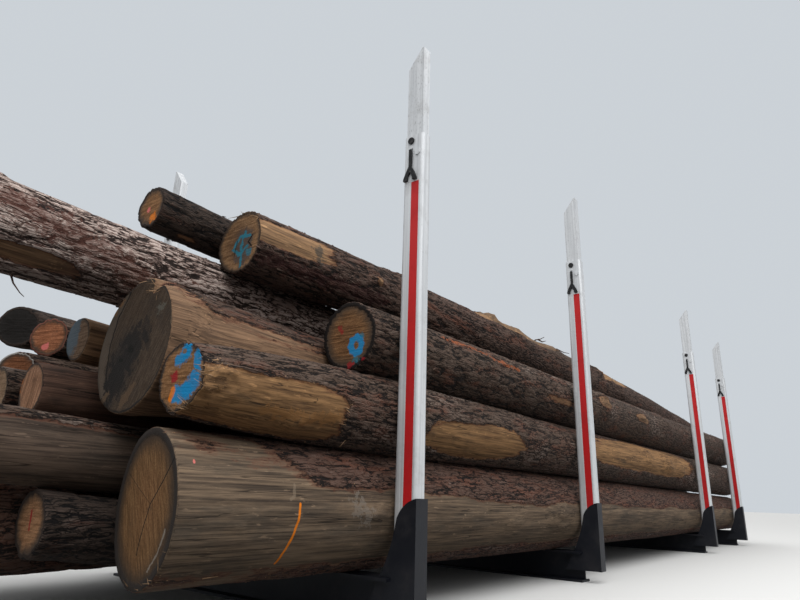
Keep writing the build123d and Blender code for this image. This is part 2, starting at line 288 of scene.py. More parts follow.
class NodeSketch:
    """Short calls that build a material's nodes."""

    def __init__(self, name: str) -> None:
        """Start an empty material with one shader and its output."""
        self.material = bpy.data.materials.new(name)
        self.material.use_nodes = True
        self.tree = self.material.node_tree
        self.shader = self.tree.nodes["Principled BSDF"]
        self.place = self.add("ShaderNodeTexCoord").outputs["Object"]

    def add(self, kind: str, **settings: object) -> bpy.types.Node:
        """Add a node and set its properties."""
        node = self.tree.nodes.new(kind)
        for name, value in settings.items():
            setattr(node, name, value)
        return node

    def feed(self, socket: Socket, value: object) -> None:
        """Link a socket to another, or set its value."""
        if isinstance(value, Socket):
            self.tree.links.new(value, socket)
        elif isinstance(value, tuple) and len(value) == 3 and socket.type == "RGBA":
            socket.default_value = (*value, 1.0)
        else:
            socket.default_value = value

    def maths(self, operation: str, a: object, b: object = 0.0, c: object = 0.0) -> Socket:
        """One Math node."""
        node = self.add("ShaderNodeMath", operation=operation)
        for socket, value in zip(node.inputs, (a, b, c)):
            self.feed(socket, value)
        return node.outputs[0]

    def vector(self, operation: str, a: object, b: object = (0.0, 0.0, 0.0), scale: object = 1.0) -> Socket:
        """One Vector Math node."""
        node = self.add("ShaderNodeVectorMath", operation=operation)
        self.feed(node.inputs[0], a)
        self.feed(node.inputs[1], b)
        if operation == "SCALE":
            self.feed(node.inputs["Scale"], scale)
        return node.outputs["Value" if operation in ("DOT_PRODUCT", "DISTANCE", "LENGTH") else "Vector"]

    def stretched(self, scale: Point, turn: float = 0.0, shift: Point = (0, 0, 0)) -> Socket:
        """The object's own coordinates, turned about X by some degrees and stretched.

        Args:
            scale: Waves per metre along each axis.
            turn: Degrees about X, taken before the scale.
            shift: Added to the stretched place.

        Returns:
            The place to read a pattern at.
        """
        where = self.place
        if turn:
            turned = self.add("ShaderNodeVectorRotate", rotation_type="X_AXIS")
            self.feed(turned.inputs["Vector"], where)
            turned.inputs["Angle"].default_value = math.radians(turn)
            where = turned.outputs[0]
        node = self.add("ShaderNodeMapping")
        self.feed(node.inputs["Vector"], where)
        node.inputs["Location"].default_value = shift
        node.inputs["Scale"].default_value = scale
        return node.outputs[0]

    def noise(self, where: Socket, scale: float = 1.0, detail: float = 4.0,
              rough: float = 0.55, warp: float = 0.0) -> Socket:
        """Noise from 0 to 1.

        Args:
            where: The place that is read.
            scale: Waves per unit of the place.
            detail: How many finer layers it has.
            rough: Share of each finer layer.
            warp: How far it is bent.

        Returns:
            The noise.
        """
        node = self.add("ShaderNodeTexNoise")
        self.feed(node.inputs["Vector"], where)
        node.inputs["Scale"].default_value = scale
        node.inputs["Detail"].default_value = detail
        node.inputs["Roughness"].default_value = rough
        node.inputs["Distortion"].default_value = warp
        return node.outputs["Fac"]

    def streaks(self, scale: Point, detail: float = 4.0, rough: float = 0.55, size: float = 1.0,
                turn: float = 0.0, shift: Point = (0, 0, 0), warp: float = 0.0) -> Socket:
        """Noise that is drawn out along an axis."""
        return self.noise(self.stretched(scale, turn, shift), size, detail, rough, warp)

    def centred(self, value: Socket) -> Socket:
        """A value from 0 to 1, shifted to lie about 0."""
        return self.maths("SUBTRACT", value, 0.5)

    def cells(self, where: Socket) -> Socket:
        """Distances to the edges of a pattern of cells."""
        node = self.add("ShaderNodeTexVoronoi", feature="DISTANCE_TO_EDGE")
        self.feed(node.inputs["Vector"], where)
        node.inputs["Scale"].default_value = 1.0
        return node.outputs["Distance"]

    def between(self, value: object, low: float, high: float,
                out_low: float = 0.0, out_high: float = 1.0) -> Socket:
        """Map a span of values to another, smoothly and clamped.

        Args:
            value: What is mapped.
            low: Start of its span.
            high: End of its span.
            out_low: Result at the start.
            out_high: Result at the end.

        Returns:
            The mapped value.
        """
        node = self.add("ShaderNodeMapRange", interpolation_type="SMOOTHSTEP")
        for name, number in (("Value", value), ("From Min", low), ("From Max", high),
                             ("To Min", out_low), ("To Max", out_high)):
            self.feed(node.inputs[name], number)
        return node.outputs[0]

    def mix(self, a: object, b: object, share: object, blend: str = "MIX") -> Socket:
        """Mix two colours.

        Args:
            a: The first colour.
            b: The second colour.
            share: How much of the second there is.
            blend: How the second is laid on.

        Returns:
            The mixed colour.
        """
        node = self.add("ShaderNodeMix", data_type="RGBA", blend_type=blend)
        self.feed(node.inputs[0], share)
        self.feed(node.inputs[6], a)
        self.feed(node.inputs[7], b)
        return node.outputs[2]

    def tint(self, colour: object, other: object, value: object, low: float, high: float,
             at_low: float = 0.0, at_high: float = 1.0, blend: str = "MIX") -> Socket:
        """Mix in another colour by how far a value lies from low to high."""
        return self.mix(colour, other, self.between(value, low, high, at_low, at_high), blend)

    def mix_value(self, a: object, b: object, share: object) -> Socket:
        """Mix two numbers."""
        node = self.add("ShaderNodeMix", data_type="FLOAT")
        for socket, value in zip((node.inputs[0], node.inputs[2], node.inputs[3]), (share, a, b)):
            self.feed(socket, value)
        return node.outputs[0]

    def attribute(self, name: str) -> Socket:
        """A number that the mesh carries."""
        return self.add("ShaderNodeAttribute", attribute_name=name).outputs["Fac"]

    def bump(self, height: object, distance: float, strength: float = 1.0) -> Socket:
        """Normals from a height."""
        node = self.add("ShaderNodeBump")
        node.inputs["Strength"].default_value = strength
        node.inputs["Distance"].default_value = distance
        self.feed(node.inputs["Height"], height)
        return node.outputs[0]

    def noise_colour(self, scale: float) -> Socket:
        """Three fields of noise at once."""
        node = self.add("ShaderNodeTexNoise")
        self.feed(node.inputs["Vector"], self.place)
        node.inputs["Scale"].default_value = scale
        node.inputs["Detail"].default_value = 2.0
        return node.outputs["Color"]

    def wobble(self, scale: float, reach: Point) -> Socket:
        """A wandering shift of up to half a reach each way."""
        centred = self.vector("SUBTRACT", self.noise_colour(scale), (0.5, 0.5, 0.5))
        return self.vector("MULTIPLY", centred, reach)

    def line_distance(self, points: tuple[Point, ...], where: Socket) -> Socket:
        """Distance from a broken line.

        Args:
            points: Corners of the line, in metres.
            where: The place that is measured.

        Returns:
            The distance in metres.
        """
        nearest = None
        for start, end in zip(points, points[1:]):
            run = tuple(b - a for a, b in zip(start, end))
            from_start = self.vector("SUBTRACT", where, start)
            share = self.add("ShaderNodeMath", operation="DIVIDE", use_clamp=True)
            self.feed(share.inputs[0], self.vector("DOT_PRODUCT", from_start, run))
            share.inputs[1].default_value = sum(v * v for v in run)
            along = self.vector("SCALE", run, scale=share.outputs[0])
            off = self.vector("DISTANCE", from_start, along)
            nearest = off if nearest is None else self.maths("MINIMUM", nearest, off)
        return nearest

    def draw_marks(self, colour: object, marks: tuple[Mark, ...], flat: bool) -> Socket:
        """Lay cracks and strokes of paint over a colour.

        Args:
            colour: The colour underneath.
            marks: The marks, in the order in which they are laid.
            flat: Whether the marks lie on an end, where only Y and Z count.

        Returns:
            The colour with the marks.
        """
        if not marks:
            return colour
        spread = (0.0, 1.0, 1.0) if flat else (1.0, 1.0, 1.0)
        fine = self.noise(self.place, 150.0, 3.0)
        rough = self.centred(fine)
        for mark in marks:
            sway = mark.width * mark.ragged * 1.6
            moved = self.vector("ADD", self.place, self.wobble(30.0, (sway, sway, sway)))
            where = self.vector("MULTIPLY", moved, spread)
            points = tuple(tuple(a * b for a, b in zip(point, spread)) for point in mark.corners)
            off = self.line_distance(points, where)
            edge = self.maths("MULTIPLY_ADD", rough, mark.width * mark.ragged, off)
            share = self.between(edge, mark.width * 0.32, mark.width * 0.50, mark.strength, 0.0)
            colour = self.mix(colour, mark.colour, share)
        return colour

    def close(self, colour: object, roughness: object, normal: object = None,
              **sockets: float) -> bpy.types.Material:
        """Wire the shader and return the material.

        Args:
            colour: Its colour.
            roughness: How matt it is.
            normal: Its relief.
            sockets: Numbers for other inputs, with _ for each space in their names.

        Returns:
            The finished material.
        """
        self.feed(self.shader.inputs["Base Color"], colour)
        self.feed(self.shader.inputs["Roughness"], roughness)
        if normal is not None:
            self.feed(self.shader.inputs["Normal"], normal)
        for name, value in sockets.items():
            self.feed(self.shader.inputs[name.replace("_", " ")], value)
        return self.material


class SideMaterial(NodeSketch):
    """Bark and bare wood of a log's side, told apart by the mesh's bark attribute."""

    hair_dark = (0.016, 0.011, 0.008)
    crack_dark = (0.014, 0.010, 0.007)
    edge_dark = (0.010, 0.007, 0.005)

    def __init__(self, look: LogLook) -> None:
        """Start the material of one log."""
        super().__init__(f"{look.node}_side")
        self.look = look

    def bark(self) -> tuple[Socket, Socket]:
        """Colour and height of the bark.

        Returns:
            The two sockets.
        """
        bark = self.look.bark
        shift = self.vector("ADD", self.wobble(5.0, (0.16, 0.05, 0.05)),
                            self.wobble(22.0, (0.05, 0.012, 0.012)))
        moved = self.vector("ADD", self.place, shift)
        waves = self.noise(self.vector("MULTIPLY", moved, bark.plate), 1.0, 3.0, 0.55)
        furrow = self.between(self.maths("ABSOLUTE", self.centred(waves)), 0.0, 0.085)
        length, *width = bark.plate
        cracks = self.cells(self.vector("MULTIPLY", moved, (2.6 * length, *width)))
        flakes = self.streaks((26, 95, 95), 4.0, 0.7)
        grit = self.streaks((0.35, 1, 1), 5.0, 0.7, 150.0)
        crest = self.maths("MULTIPLY", furrow, self.between(cracks, 0.0, 0.13, 0.45, 1.0))
        crest = self.maths("MULTIPLY", crest, self.between(flakes, 0.30, 0.62, 0.5, 1.0))
        height = self.maths("MULTIPLY_ADD", self.attribute("ridge"), 0.30,
                            self.maths("MULTIPLY_ADD", crest, 0.50, self.maths("MULTIPLY", grit, 0.42)))
        tone = self.streaks((0.8, 2.2, 2.2), 5.0, 0.6, 1.6)
        patchy = self.streaks((1.8, 7.0, 7.0), 6.0, 0.68, 1.8, shift=(3, 1, 5))
        speck = self.streaks((0.4, 1, 1), 3.0, 0.7, 70.0, shift=(7, 7, 7))
        colour = self.tint(bark.ridge, bark.rust, patchy, bark.rust_from, 0.70, 0.0, 0.85)
        colour = self.tint(bark.furrow, colour, height, 0.43, 0.66)
        tips = self.maths("MULTIPLY", self.between(height, 0.60, 0.84),
                          self.between(tone, bark.pale_from, bark.pale_from + 0.16, 0.12, 1.0))
        colour = self.mix(colour, bark.pale, tips)
        crests = self.maths("MAXIMUM", tips, self.between(height, 0.66, 0.84, 0.0, 0.45))
        colour = self.mix(colour, bark.pale,
                          self.maths("MULTIPLY", self.between(speck, 0.56, 0.72, 0.0, 0.8), crests))
        return colour, height

    def wood(self) -> tuple[Socket, Socket]:
        """Colour and height of the bare wood.

        Returns:
            The two sockets.
        """
        wood = self.look.wood
        broad = self.streaks((1.1, 18, 18), 5.0, 0.6, warp=0.2)
        streak = self.streaks((2.6, 100, 100), 6.0, 0.68, warp=0.1)
        fibre = self.maths("MULTIPLY_ADD", broad, 0.4, self.maths("MULTIPLY", streak, 0.6))
        hair = self.streaks((7.0, 260, 260), 3.0, 0.6)
        stain = self.streaks((1.2, 4.6, 4.6), 7.0, 0.70, 1.7, shift=(1, 9, 2))
        fleck = self.streaks((14.0, 60, 60), 3.0, 0.6, shift=(2, 2, 8))
        split = self.streaks((0.7, 30, 30), 2.0, 0.4, shift=(4, 4, 4), warp=0.3)
        colour = self.tint(wood.dark, wood.light, fibre, 0.38, 0.62)
        greyed = self.between(stain, 0.68 - 0.35 * wood.grey_share, 0.72, 0.0, 0.85)
        grey = self.tint(tuple(0.35 * v for v in wood.grey), wood.grey, fibre, 0.36, 0.62)
        colour = self.mix(colour, grey, greyed)
        colour = self.tint(colour, self.hair_dark, hair, 0.22, 0.40, 0.8, 0.0)
        bright = tuple(min(1.0, 1.6 * v) for v in wood.light)
        colour = self.tint(colour, bright, fleck, 0.62, 0.72, 0.0, 0.55)
        crack = self.between(self.maths("ABSOLUTE", self.centred(split)), 0.0, 0.012, 0.75, 0.0)
        colour = self.mix(colour, self.crack_dark, crack)
        height = self.maths("MULTIPLY_ADD", fibre, 0.12,
                            self.maths("MULTIPLY_ADD", crack, -0.10, self.maths("MULTIPLY", hair, 0.06)))
        return colour, height

    def finish(self, marks: tuple[Mark, ...]) -> bpy.types.Material:
        """Lay bark over wood and draw the marks.

        Args:
            marks: Strokes on the side, on its finished surface.

        Returns:
            The material.
        """
        bark_colour, bark_height = self.bark()
        wood_colour, wood_height = self.wood()
        jitter = self.streaks((0.5, 1.4, 1.4), 5.0, 0.72, 34.0)
        edge = self.maths("MULTIPLY_ADD", self.centred(jitter), 0.045, self.attribute("bark"))
        barked = self.between(edge, -0.0015, 0.0015)
        colour = self.tint(wood_colour, self.look.bark.rust, edge, -0.014, 0.003, 0.0, 0.8)
        colour = self.tint(colour, self.edge_dark, edge, -0.006, 0.0, 0.0, 0.7)
        colour = self.mix(colour, bark_colour, barked)
        colour = self.draw_marks(colour, marks, False)
        height = self.mix_value(wood_height, self.maths("ADD", bark_height, 0.2), barked)
        return self.close(colour, 0.9, self.bump(height, self.look.bark.depth), Specular_IOR_Level=0.2)


class EndMaterial(NodeSketch):
    """A sawn end with rings, saw lines, a dark rim and its marks."""

    ring_tint = (0.60, 0.52, 0.42)
    saw_tint = (0.30, 0.25, 0.20)
    torn_tint = (0.45, 0.38, 0.30)
    grain_tint = (0.4, 0.33, 0.26)
    rings_per_metre = 700.0

    def finish(self, end: EndFinish, pith: Point, marks: tuple[Mark, ...]) -> bpy.types.Material:
        """Draw the end.

        Args:
            end: Its colours.
            pith: The middle of its rings.
            marks: Cracks and strokes of paint on it.

        Returns:
            The material.
        """
        rim = self.attribute("rim")
        from_pith = self.vector("SUBTRACT", self.place, pith)
        flat = self.vector("MULTIPLY", from_pith, (0.0, 1.0, 1.0))
        reach = self.vector("LENGTH", flat)
        wavy = self.noise(self.place, 7.0, 4.0)
        age = self.maths("MULTIPLY_ADD", wavy, 0.05, reach)
        rings = self.maths("SINE", self.maths("MULTIPLY", age, self.rings_per_metre))
        broad = self.noise(self.place, 6.5, 8.0, 0.70)
        saw = self.streaks((1, 5, 120), 3.0, 0.6, turn=end.saw_angle)
        torn = self.streaks((1, 14, 75), 5.0, 0.7, turn=end.saw_angle + 9, shift=(5, 5, 5))
        grain = self.noise(self.place, 130.0, 4.0, 0.7)
        colour = self.tint(end.heart, end.outer, reach, 0.03, 0.17)
        colour = self.tint(colour, self.ring_tint, rings, -1.0, 1.0, 0.0, 0.12, "MULTIPLY")
        colour = self.tint(colour, self.saw_tint, saw, 0.35, 0.60, end.saw_depth, 0.0, "MULTIPLY")
        colour = self.tint(colour, self.torn_tint, torn, 0.38, 0.60, 0.55, 0.0, "MULTIPLY")
        colour = self.tint(colour, self.grain_tint, grain, 0.42, 0.62, 0.40, 0.0, "MULTIPLY")
        stained = self.between(broad, 0.68 - 0.4 * end.stain_share, 0.74, 0.0, 0.85)
        colour = self.mix(colour, end.stain, stained)
        edge = self.maths("MULTIPLY_ADD", self.centred(broad), 0.07, rim)
        dirty = self.between(edge, end.rim_width * 0.6, end.rim_width * 3.2, 0.92, 0.0)
        colour = self.mix(colour, end.stain, dirty)
        rough_rim = self.maths("MULTIPLY_ADD", self.centred(grain), 0.014, rim)
        bark_ring = self.between(rough_rim, end.rim_width * 0.6, end.rim_width, 1.0, 0.0)
        colour = self.mix(colour, end.rim, bark_ring)
        colour = self.draw_marks(colour, marks, True)
        height = self.maths("MULTIPLY_ADD", saw, 0.5,
                            self.maths("MULTIPLY_ADD", grain, 0.4, self.maths("MULTIPLY", bark_ring, -0.6)))
        return self.close(colour, 0.88, self.bump(height, 0.005), Specular_IOR_Level=0.2)


class PackedLog:
    """The outline of one packed log, read from its node's mesh."""

    end_facing = 0.6
    end_span = 0.4
    flat_end_span = 0.001
    samples = 256
    same_level = 2e-4
    widest_gap = 0.7
    clear_of_ends = 0.05
    fewest_corners = 11
    fewest_by_ledge = 100
    ledge_level = 5e-4
    ledge_least = 0.006
    ledge_reach = 0.16
    ledge_slope = 0.002
    first_row = 0.006
    last_row = 0.012

    def __init__(self, look: LogLook) -> None:
        """Read the rings of the node.

        Args:
            look: The log.
        """
        self.look = look
        corners, triangles = self._read()
        a, b, c = (corners[triangles[:, k]] for k in range(3))
        facing = np.cross(b - a, c - a)
        facing /= np.linalg.norm(facing, axis=1)[:, None] + 1e-12
        low, high = corners[:, 0].min(), corners[:, 0].max()
        middle = a[:, 0] / 3 + b[:, 0] / 3 + c[:, 0] / 3
        front = self.flat_end_span if look.ledge else self.end_span
        near = np.unique(triangles[(facing[:, 0] < -self.end_facing) & (middle < low + front)])
        far = np.unique(triangles[(facing[:, 0] > self.end_facing) & (middle > high - self.end_span)])
        self.low = low
        self.angles = np.arange(look.across) * 2 * math.pi / look.across
        rings = [self._ring(corners[near])]
        rest = corners[np.setdiff1d(np.arange(len(corners)), np.concatenate([near, far]))]
        for x in np.unique(rest[:, 0].round(4)):
            level = rest[np.abs(rest[:, 0] - x) < self.same_level]
            turn = np.sort(np.arctan2(*(level[:, 1:] - level[:, 1:].mean(0)).T[::-1]))
            if len(turn) <= (self.fewest_by_ledge if look.ledge else self.fewest_corners):
                continue
            gap = np.diff(np.append(turn, turn[0] + 2 * math.pi)).max()
            inside = low + look.ledge + self.clear_of_ends < x < high - self.clear_of_ends
            if gap < self.widest_gap and inside:
                rings.append(self._ring(level))
        rings.append(self._ring(corners[far]))
        rings.sort(key=lambda ring: ring[0].mean())
        if look.ledge:
            rings[1:1] = self._ledge_rings(rings[0], rings[1], corners)
        self.x = np.array([ring[0] for ring in rings])
        self.reach = np.array([ring[1] for ring in rings])
        self.heart = np.array([ring[2] for ring in rings])

    def _read(self) -> tuple[np.ndarray, np.ndarray]:
        """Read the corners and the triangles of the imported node.

        Returns:
            The corners' places, and three corner numbers for each triangle.
        """
        mesh = frame["nodes"][self.look.node].data
        corners = np.empty(len(mesh.vertices) * 3)
        mesh.vertices.foreach_get("co", corners)
        mesh.calc_loop_triangles()
        triangles = np.empty(len(mesh.loop_triangles) * 3, dtype=np.int32)
        mesh.loop_triangles.foreach_get("vertices", triangles)
        return corners.reshape(-1, 3), triangles.reshape(-1, 3)

    def _ring(self, points: np.ndarray) -> tuple[np.ndarray, np.ndarray, np.ndarray]:
        """Read one ring of corners at even angles and smooth its facets away.

        Args:
            points: The corners of the ring.

        Returns:
            X and radius at each angle, and the ring's middle.
        """
        heart = (points[:, 1:].min(0) + points[:, 1:].max(0)) / 2
        off = points[:, 1:] - heart
        angle = np.arctan2(off[:, 1], off[:, 0]) % (2 * math.pi)
        order = np.argsort(angle)
        even = np.arange(self.samples) * 2 * math.pi / self.samples
        values = []
        for source in (np.hypot(off[:, 0], off[:, 1]), points[:, 0]):
            plain = np.interp(even, angle[order], source[order], period=2 * math.pi)
            wave = np.fft.rfft(plain)
            wave[self.look.harmonics + 1 :] = 0
            smooth = np.fft.irfft(wave, self.samples)
            values.append(np.interp(self.angles, even, smooth, period=2 * math.pi))
        return values[1], values[0], heart

    def _ledge_rings(self, first: tuple, second: tuple, corners: np.ndarray) -> list[tuple]:
        """Rings at the foot of the ledge and at its outer edge.

        Args:
            first: The ring of the near end.
            second: The next ring along the log.
            corners: All corners of the log.

        Returns:
            The two rings.
        """
        floor = self.low + self.look.ledge
        level = corners[np.abs(corners[:, 0] - floor) < self.ledge_level]
        off = level[:, 1:] - first[2]
        angle, reach = np.arctan2(off[:, 1], off[:, 0]) % (2 * math.pi), np.hypot(off[:, 0], off[:, 1])
        outer = reach > np.interp(angle, self.angles, first[1], period=2 * math.pi) + self.ledge_least
        share = self.look.ledge / (second[0].mean() - self.low)
        plain = first[1] + (second[1] - first[1]) * share
        if outer.any():
            order = np.argsort(angle[outer])
            turn, wide = angle[outer][order], reach[outer][order]
            cut = np.interp(self.angles, turn, wide, period=2 * math.pi)
            nearest = np.abs((self.angles[:, None] - turn[None] + math.pi) % (2 * math.pi) - math.pi).min(1)
            plain = np.where(nearest < self.ledge_reach, np.maximum(cut, plain), plain)
        foot = np.full_like(first[0], floor - self.ledge_slope)
        return [(foot, first[1], first[2]), (foot + self.ledge_slope, plain, first[2])]

    def rows(self) -> np.ndarray:
        """Distances along the log of the rows of the mesh, close together near its near end."""
        look = self.look
        start = self.x[0].mean()
        length = self.x[-1].mean() - start
        places, here, step = [0.0, self.first_row], self.first_row, look.fine_step
        while here < length - 0.02:
            grown = smooth_step(look.fine_length, look.fine_length * 2.5, np.array(here))
            step = look.fine_step + (look.coarse_step - look.fine_step) * float(grown)
            here += step
            places.append(min(here, length - self.last_row))
        places = np.array(places + [length])
        if look.ledge:
            steps = self.x[1:3].mean(1) - start
            clear = (places < steps[0] - 0.005) | (places > steps[1] + 0.005)
            places = np.sort(np.concatenate([places[clear], steps]))
        return places / length

    def skin(self, shares: np.ndarray) -> tuple[np.ndarray, np.ndarray, np.ndarray]:
        """Smooth surface of the log through its rings.

        Args:
            shares: Places along the log, from 0 to 1.

        Returns:
            X and radius of each place and angle, and the heart of each place.
        """
        at = (self.x.mean(1) - self.x[0].mean()) / (self.x[-1].mean() - self.x[0].mean())
        k = np.clip(np.searchsorted(at, shares, side="right") - 1, 0, len(at) - 2)
        part = (shares - at[k]) / (at[k + 1] - at[k])

        def blend(values: np.ndarray) -> np.ndarray:
            t = part.reshape(-1, *[1] * (values.ndim - 1))
            if self.look.ledge:
                return values[k] * (1 - t) + values[k + 1] * t
            slope = np.gradient(values, at, axis=0)
            span = (at[k + 1] - at[k]).reshape(t.shape)
            return ((2 * t**3 - 3 * t**2 + 1) * values[k] + (t**3 - 2 * t**2 + t) * span * slope[k]
                    + (3 * t**2 - 2 * t**3) * values[k + 1] + (t**3 - t**2) * span * slope[k + 1])

        return blend(self.x), blend(self.reach), blend(self.heart)


class DressedLog:
    """One log with bark, bare wood, knots and sawn ends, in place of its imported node."""

    no_patch = 0.08
    edge_softness = 0.006
    ragged_waves = (5, 16, 16)
    wandering_waves = (2.2, 6, 6)
    warp_waves = (5, 12, 12)
    warp_reach = (0.05, 0.012, 0.012)
    plate_waves = (6.0, 34.0, 34.0)
    cross_waves = (19.0, 11.0, 11.0)
    lump_waves = (1.3, 3.0, 3.0)
    fibre_waves = (1.2, 26, 26)
    grit_waves = (14, 50, 50)
    knot_waves = (16, 24, 24)
    dent_waves = (1, 9, 9)
    plain_ridge = 0.75
    highest = 0.004
    near_rounding = 0.004
    far_rounding = 0.006
    rim_step = 0.014

    def __init__(self, look: LogLook, seed: int) -> None:
        """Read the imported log.

        Args:
            look: The log.
            seed: Which field of noise roughens it.
        """
        self.look = look
        self.seed = seed
        self.packed = PackedLog(look)

    def cover(self, along: np.ndarray, angle: np.ndarray, girth: float, points: np.ndarray) -> np.ndarray:
        """Distance to the edge of the bark, positive where the log has bark.

        Args:
            along: Distance of each point from the near end.
            angle: Angle of each point in degrees.
            girth: The log's radius.
            points: The points.

        Returns:
            One distance for each point.
        """
        value = np.full(along.shape, self.no_patch * self.look.ground.value)
        ragged = 0.022 * cloud(points, self.ragged_waves, self.seed + 40, 4)
        ragged += 0.030 * cloud(points, self.wandering_waves, self.seed + 44, 2)
        for patch in self.look.patches:
            reach = patch.reach(along, angle, girth) + ragged
            value = np.maximum(value, reach) if patch.cover is Ground.BARK else np.minimum(value, -reach)
        return value

    def relief(self, along: np.ndarray, angle: np.ndarray, points: np.ndarray, girth: float,
               spacing: np.ndarray) -> tuple[np.ndarray, np.ndarray, np.ndarray, np.ndarray]:
        """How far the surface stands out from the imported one, and the mesh's attributes.

        Args:
            along: Distance of each point from the near end.
            angle: Angle of each point in degrees.
            points: The points.
            girth: The log's radius.
            spacing: Distance to the next row of the mesh.

        Returns:
            The height, the bark attribute, the ridge attribute and the fray attribute of each point.
        """
        look = self.look
        cover = self.cover(along, angle, girth, points)
        barked = smooth_step(-self.edge_softness, self.edge_softness, cover)
        warped = points + np.array(self.warp_reach) * np.stack(
            [cloud(points, self.warp_waves, self.seed + k, 2) for k in range(3)], axis=1)
        clear = smooth_step(0.10, 0.03, spacing)
        furrow = smooth_step(0.0, 0.22, np.abs(cloud(warped, self.plate_waves, self.seed + 9, 2)))
        across_grain = smooth_step(0.0, 0.10, np.abs(cloud(warped, self.cross_waves, self.seed + 12, 2)))
        plates = furrow * (0.55 + 0.45 * across_grain)
        ridge = self.plain_ridge + (plates - self.plain_ridge) * clear
        height = look.lumps * cloud(points, self.lump_waves, self.seed + 3, 3)
        height -= look.bark_depth * (1 - barked) + look.ridge_height * (1 - ridge) * barked
        height += 0.0022 * cloud(points, self.fibre_waves, self.seed + 5, 3) * (1 - barked)
        height += 0.0016 * cloud(points, self.grit_waves, self.seed + 6, 2) * clear
        for knot in look.knots:
            across = np.radians((angle - knot.angle + 180) % 360 - 180) * girth
            away = np.hypot((along - knot.along) / 1.3, across) / knot.radius
            gnarled = 1 + 0.9 * cloud(points, self.knot_waves, self.seed + 7, 3)
            height += knot.height * np.exp(-(away**2)) * gnarled
        fray = look.edge_fray * np.exp(-((cover / 0.008) ** 2)) * clear
        for zone in look.frayed:
            fray = np.maximum(fray, smooth_step(0.0, 0.012, zone.reach(along, angle, girth)))
        roof = self.highest + sum(max(0.0, knot.height) for knot in look.knots)
        return np.minimum(height, roof), cover, ridge, fray

    def settle(self, places: tuple[Pair, ...], side: np.ndarray, middle: np.ndarray) -> tuple[Point, ...]:
        """Turn distances and angles into points on the finished side.

        Args:
            places: Distances from the near end, and angles in degrees.
            side: The rows of the side's points.
            middle: The heart of each row.

        Returns:
            The points.
        """
        points = []
        rows = side[:, :, 0].mean(1)
        for along, angle in places:
            row = int(np.abs(rows - self.packed.low - along).argmin())
            spoke = round(angle / 360 * side.shape[1]) % side.shape[1]
            off = side[row, spoke, 1:] - middle[row, spoke, 1:]
            turn = math.radians(angle)
            reach = float(np.hypot(*off))
            heart = middle[row, spoke]
            points.append((float(self.packed.low + along), float(heart[1] + reach * math.cos(turn)),
                           float(heart[2] + reach * math.sin(turn))))
        return tuple(points)

    def build(self) -> bpy.types.Object:
        """Make the log's closed mesh with its attributes and materials.

        Returns:
            The finished piece.
        """
        look, packed = self.look, self.packed
        shares = packed.rows()
        x, reach, heart = packed.skin(shares)
        rows, across = x.shape
        length = packed.x[-1].mean() - packed.x[0].mean()
        turn = np.tile(packed.angles, (rows, 1))
        way = np.stack([np.zeros_like(turn), np.cos(turn), np.sin(turn)], axis=-1)
        middle = np.stack([x, *(np.broadcast_to(heart[:, None, k], x.shape) for k in (0, 1))], axis=-1)
        base = middle + way * reach[..., None]
        along = np.broadcast_to((shares * length)[:, None], x.shape)
        spacing = np.broadcast_to(np.gradient(shares * length)[:, None], x.shape)
        girth = float(reach.mean())
        height, cover, ridge, fray = self.relief(
            along.ravel(), np.degrees(turn).ravel(), base.reshape(-1, 3), girth, spacing.ravel())
        height = height.reshape(x.shape)
        height[0] -= self.near_rounding
        height[-1] -= self.far_rounding
        side = base + way * height[..., None]
        rim_side = -np.minimum(along, length - along)

        shells, rims = [side.reshape(-1, 3)], [rim_side.ravel()]
        covers, ridges, frays = [cover], [ridge], [fray]
        for end in (0, rows - 1):
            outline = side[end]
            centre = np.array([outline[:, 0].mean(), *heart[end]])
            shrink = np.linspace(1, 0, look.end_rings + 1)[1:-1]
            out = np.linalg.norm(outline - centre, axis=1)
            inner = 1 - self.rim_step / out.mean()
            levels = np.concatenate([[inner], inner * shrink])
            points = centre + levels[:, None, None] * (outline - centre)[None]
            dents = 0.0015 * cloud(points.reshape(-1, 3), self.dent_waves, self.seed + 21, 3)
            inwards = 1 if end == 0 else -1
            points[..., 0] += inwards * (0.001 + np.abs(dents.reshape(levels.size, across)))
            rim = (1 - levels)[:, None] * out[None]
            shells += [points.reshape(-1, 3), centre[None]]
            rims += [rim.ravel(), np.array([out.mean()])]
            for values in (covers, ridges, frays):
                values.append(np.zeros(rim.size + 1))

        piece = self._mesh(np.concatenate(shells), rows, across, look.end_rings)
        for name, values in (("rim", rims), ("bark", covers), ("ridge", ridges), ("fray", frays)):
            layer = piece.data.attributes.new(name, "FLOAT", "POINT")
            layer.data.foreach_set("value", np.concatenate(values).astype(np.float32))
        marks = tuple(replace(mark, corners=self.settle(mark.corners, side, middle))
                      for mark in look.side_marks)
        pith = (float(x[0].mean()), *(look.pith or map(float, heart[0])))
        far_pith = (float(x[-1].mean()), *map(float, heart[-1]))
        for material in (SideMaterial(look).finish(marks),
                         EndMaterial(f"{look.node}_near_end").finish(look.end, pith, look.end_marks),
                         EndMaterial(f"{look.node}_far_end").finish(look.end, far_pith, ())):
            piece.data.materials.append(material)
        return piece

    def _mesh(self, points: np.ndarray, rows: int, across: int, rings: int) -> bpy.types.Object:
        """Join the rows and the two ends into one closed mesh."""
        k = np.arange(across)
        beyond = (k + 1) % across
        quads, slots = [], []

        def strip(first: np.ndarray, second: np.ndarray, face: Face) -> None:
            quads.append(np.stack([first[k], first[beyond], second[beyond], second[k]], axis=1))
            slots.append(np.full(across, face.value))

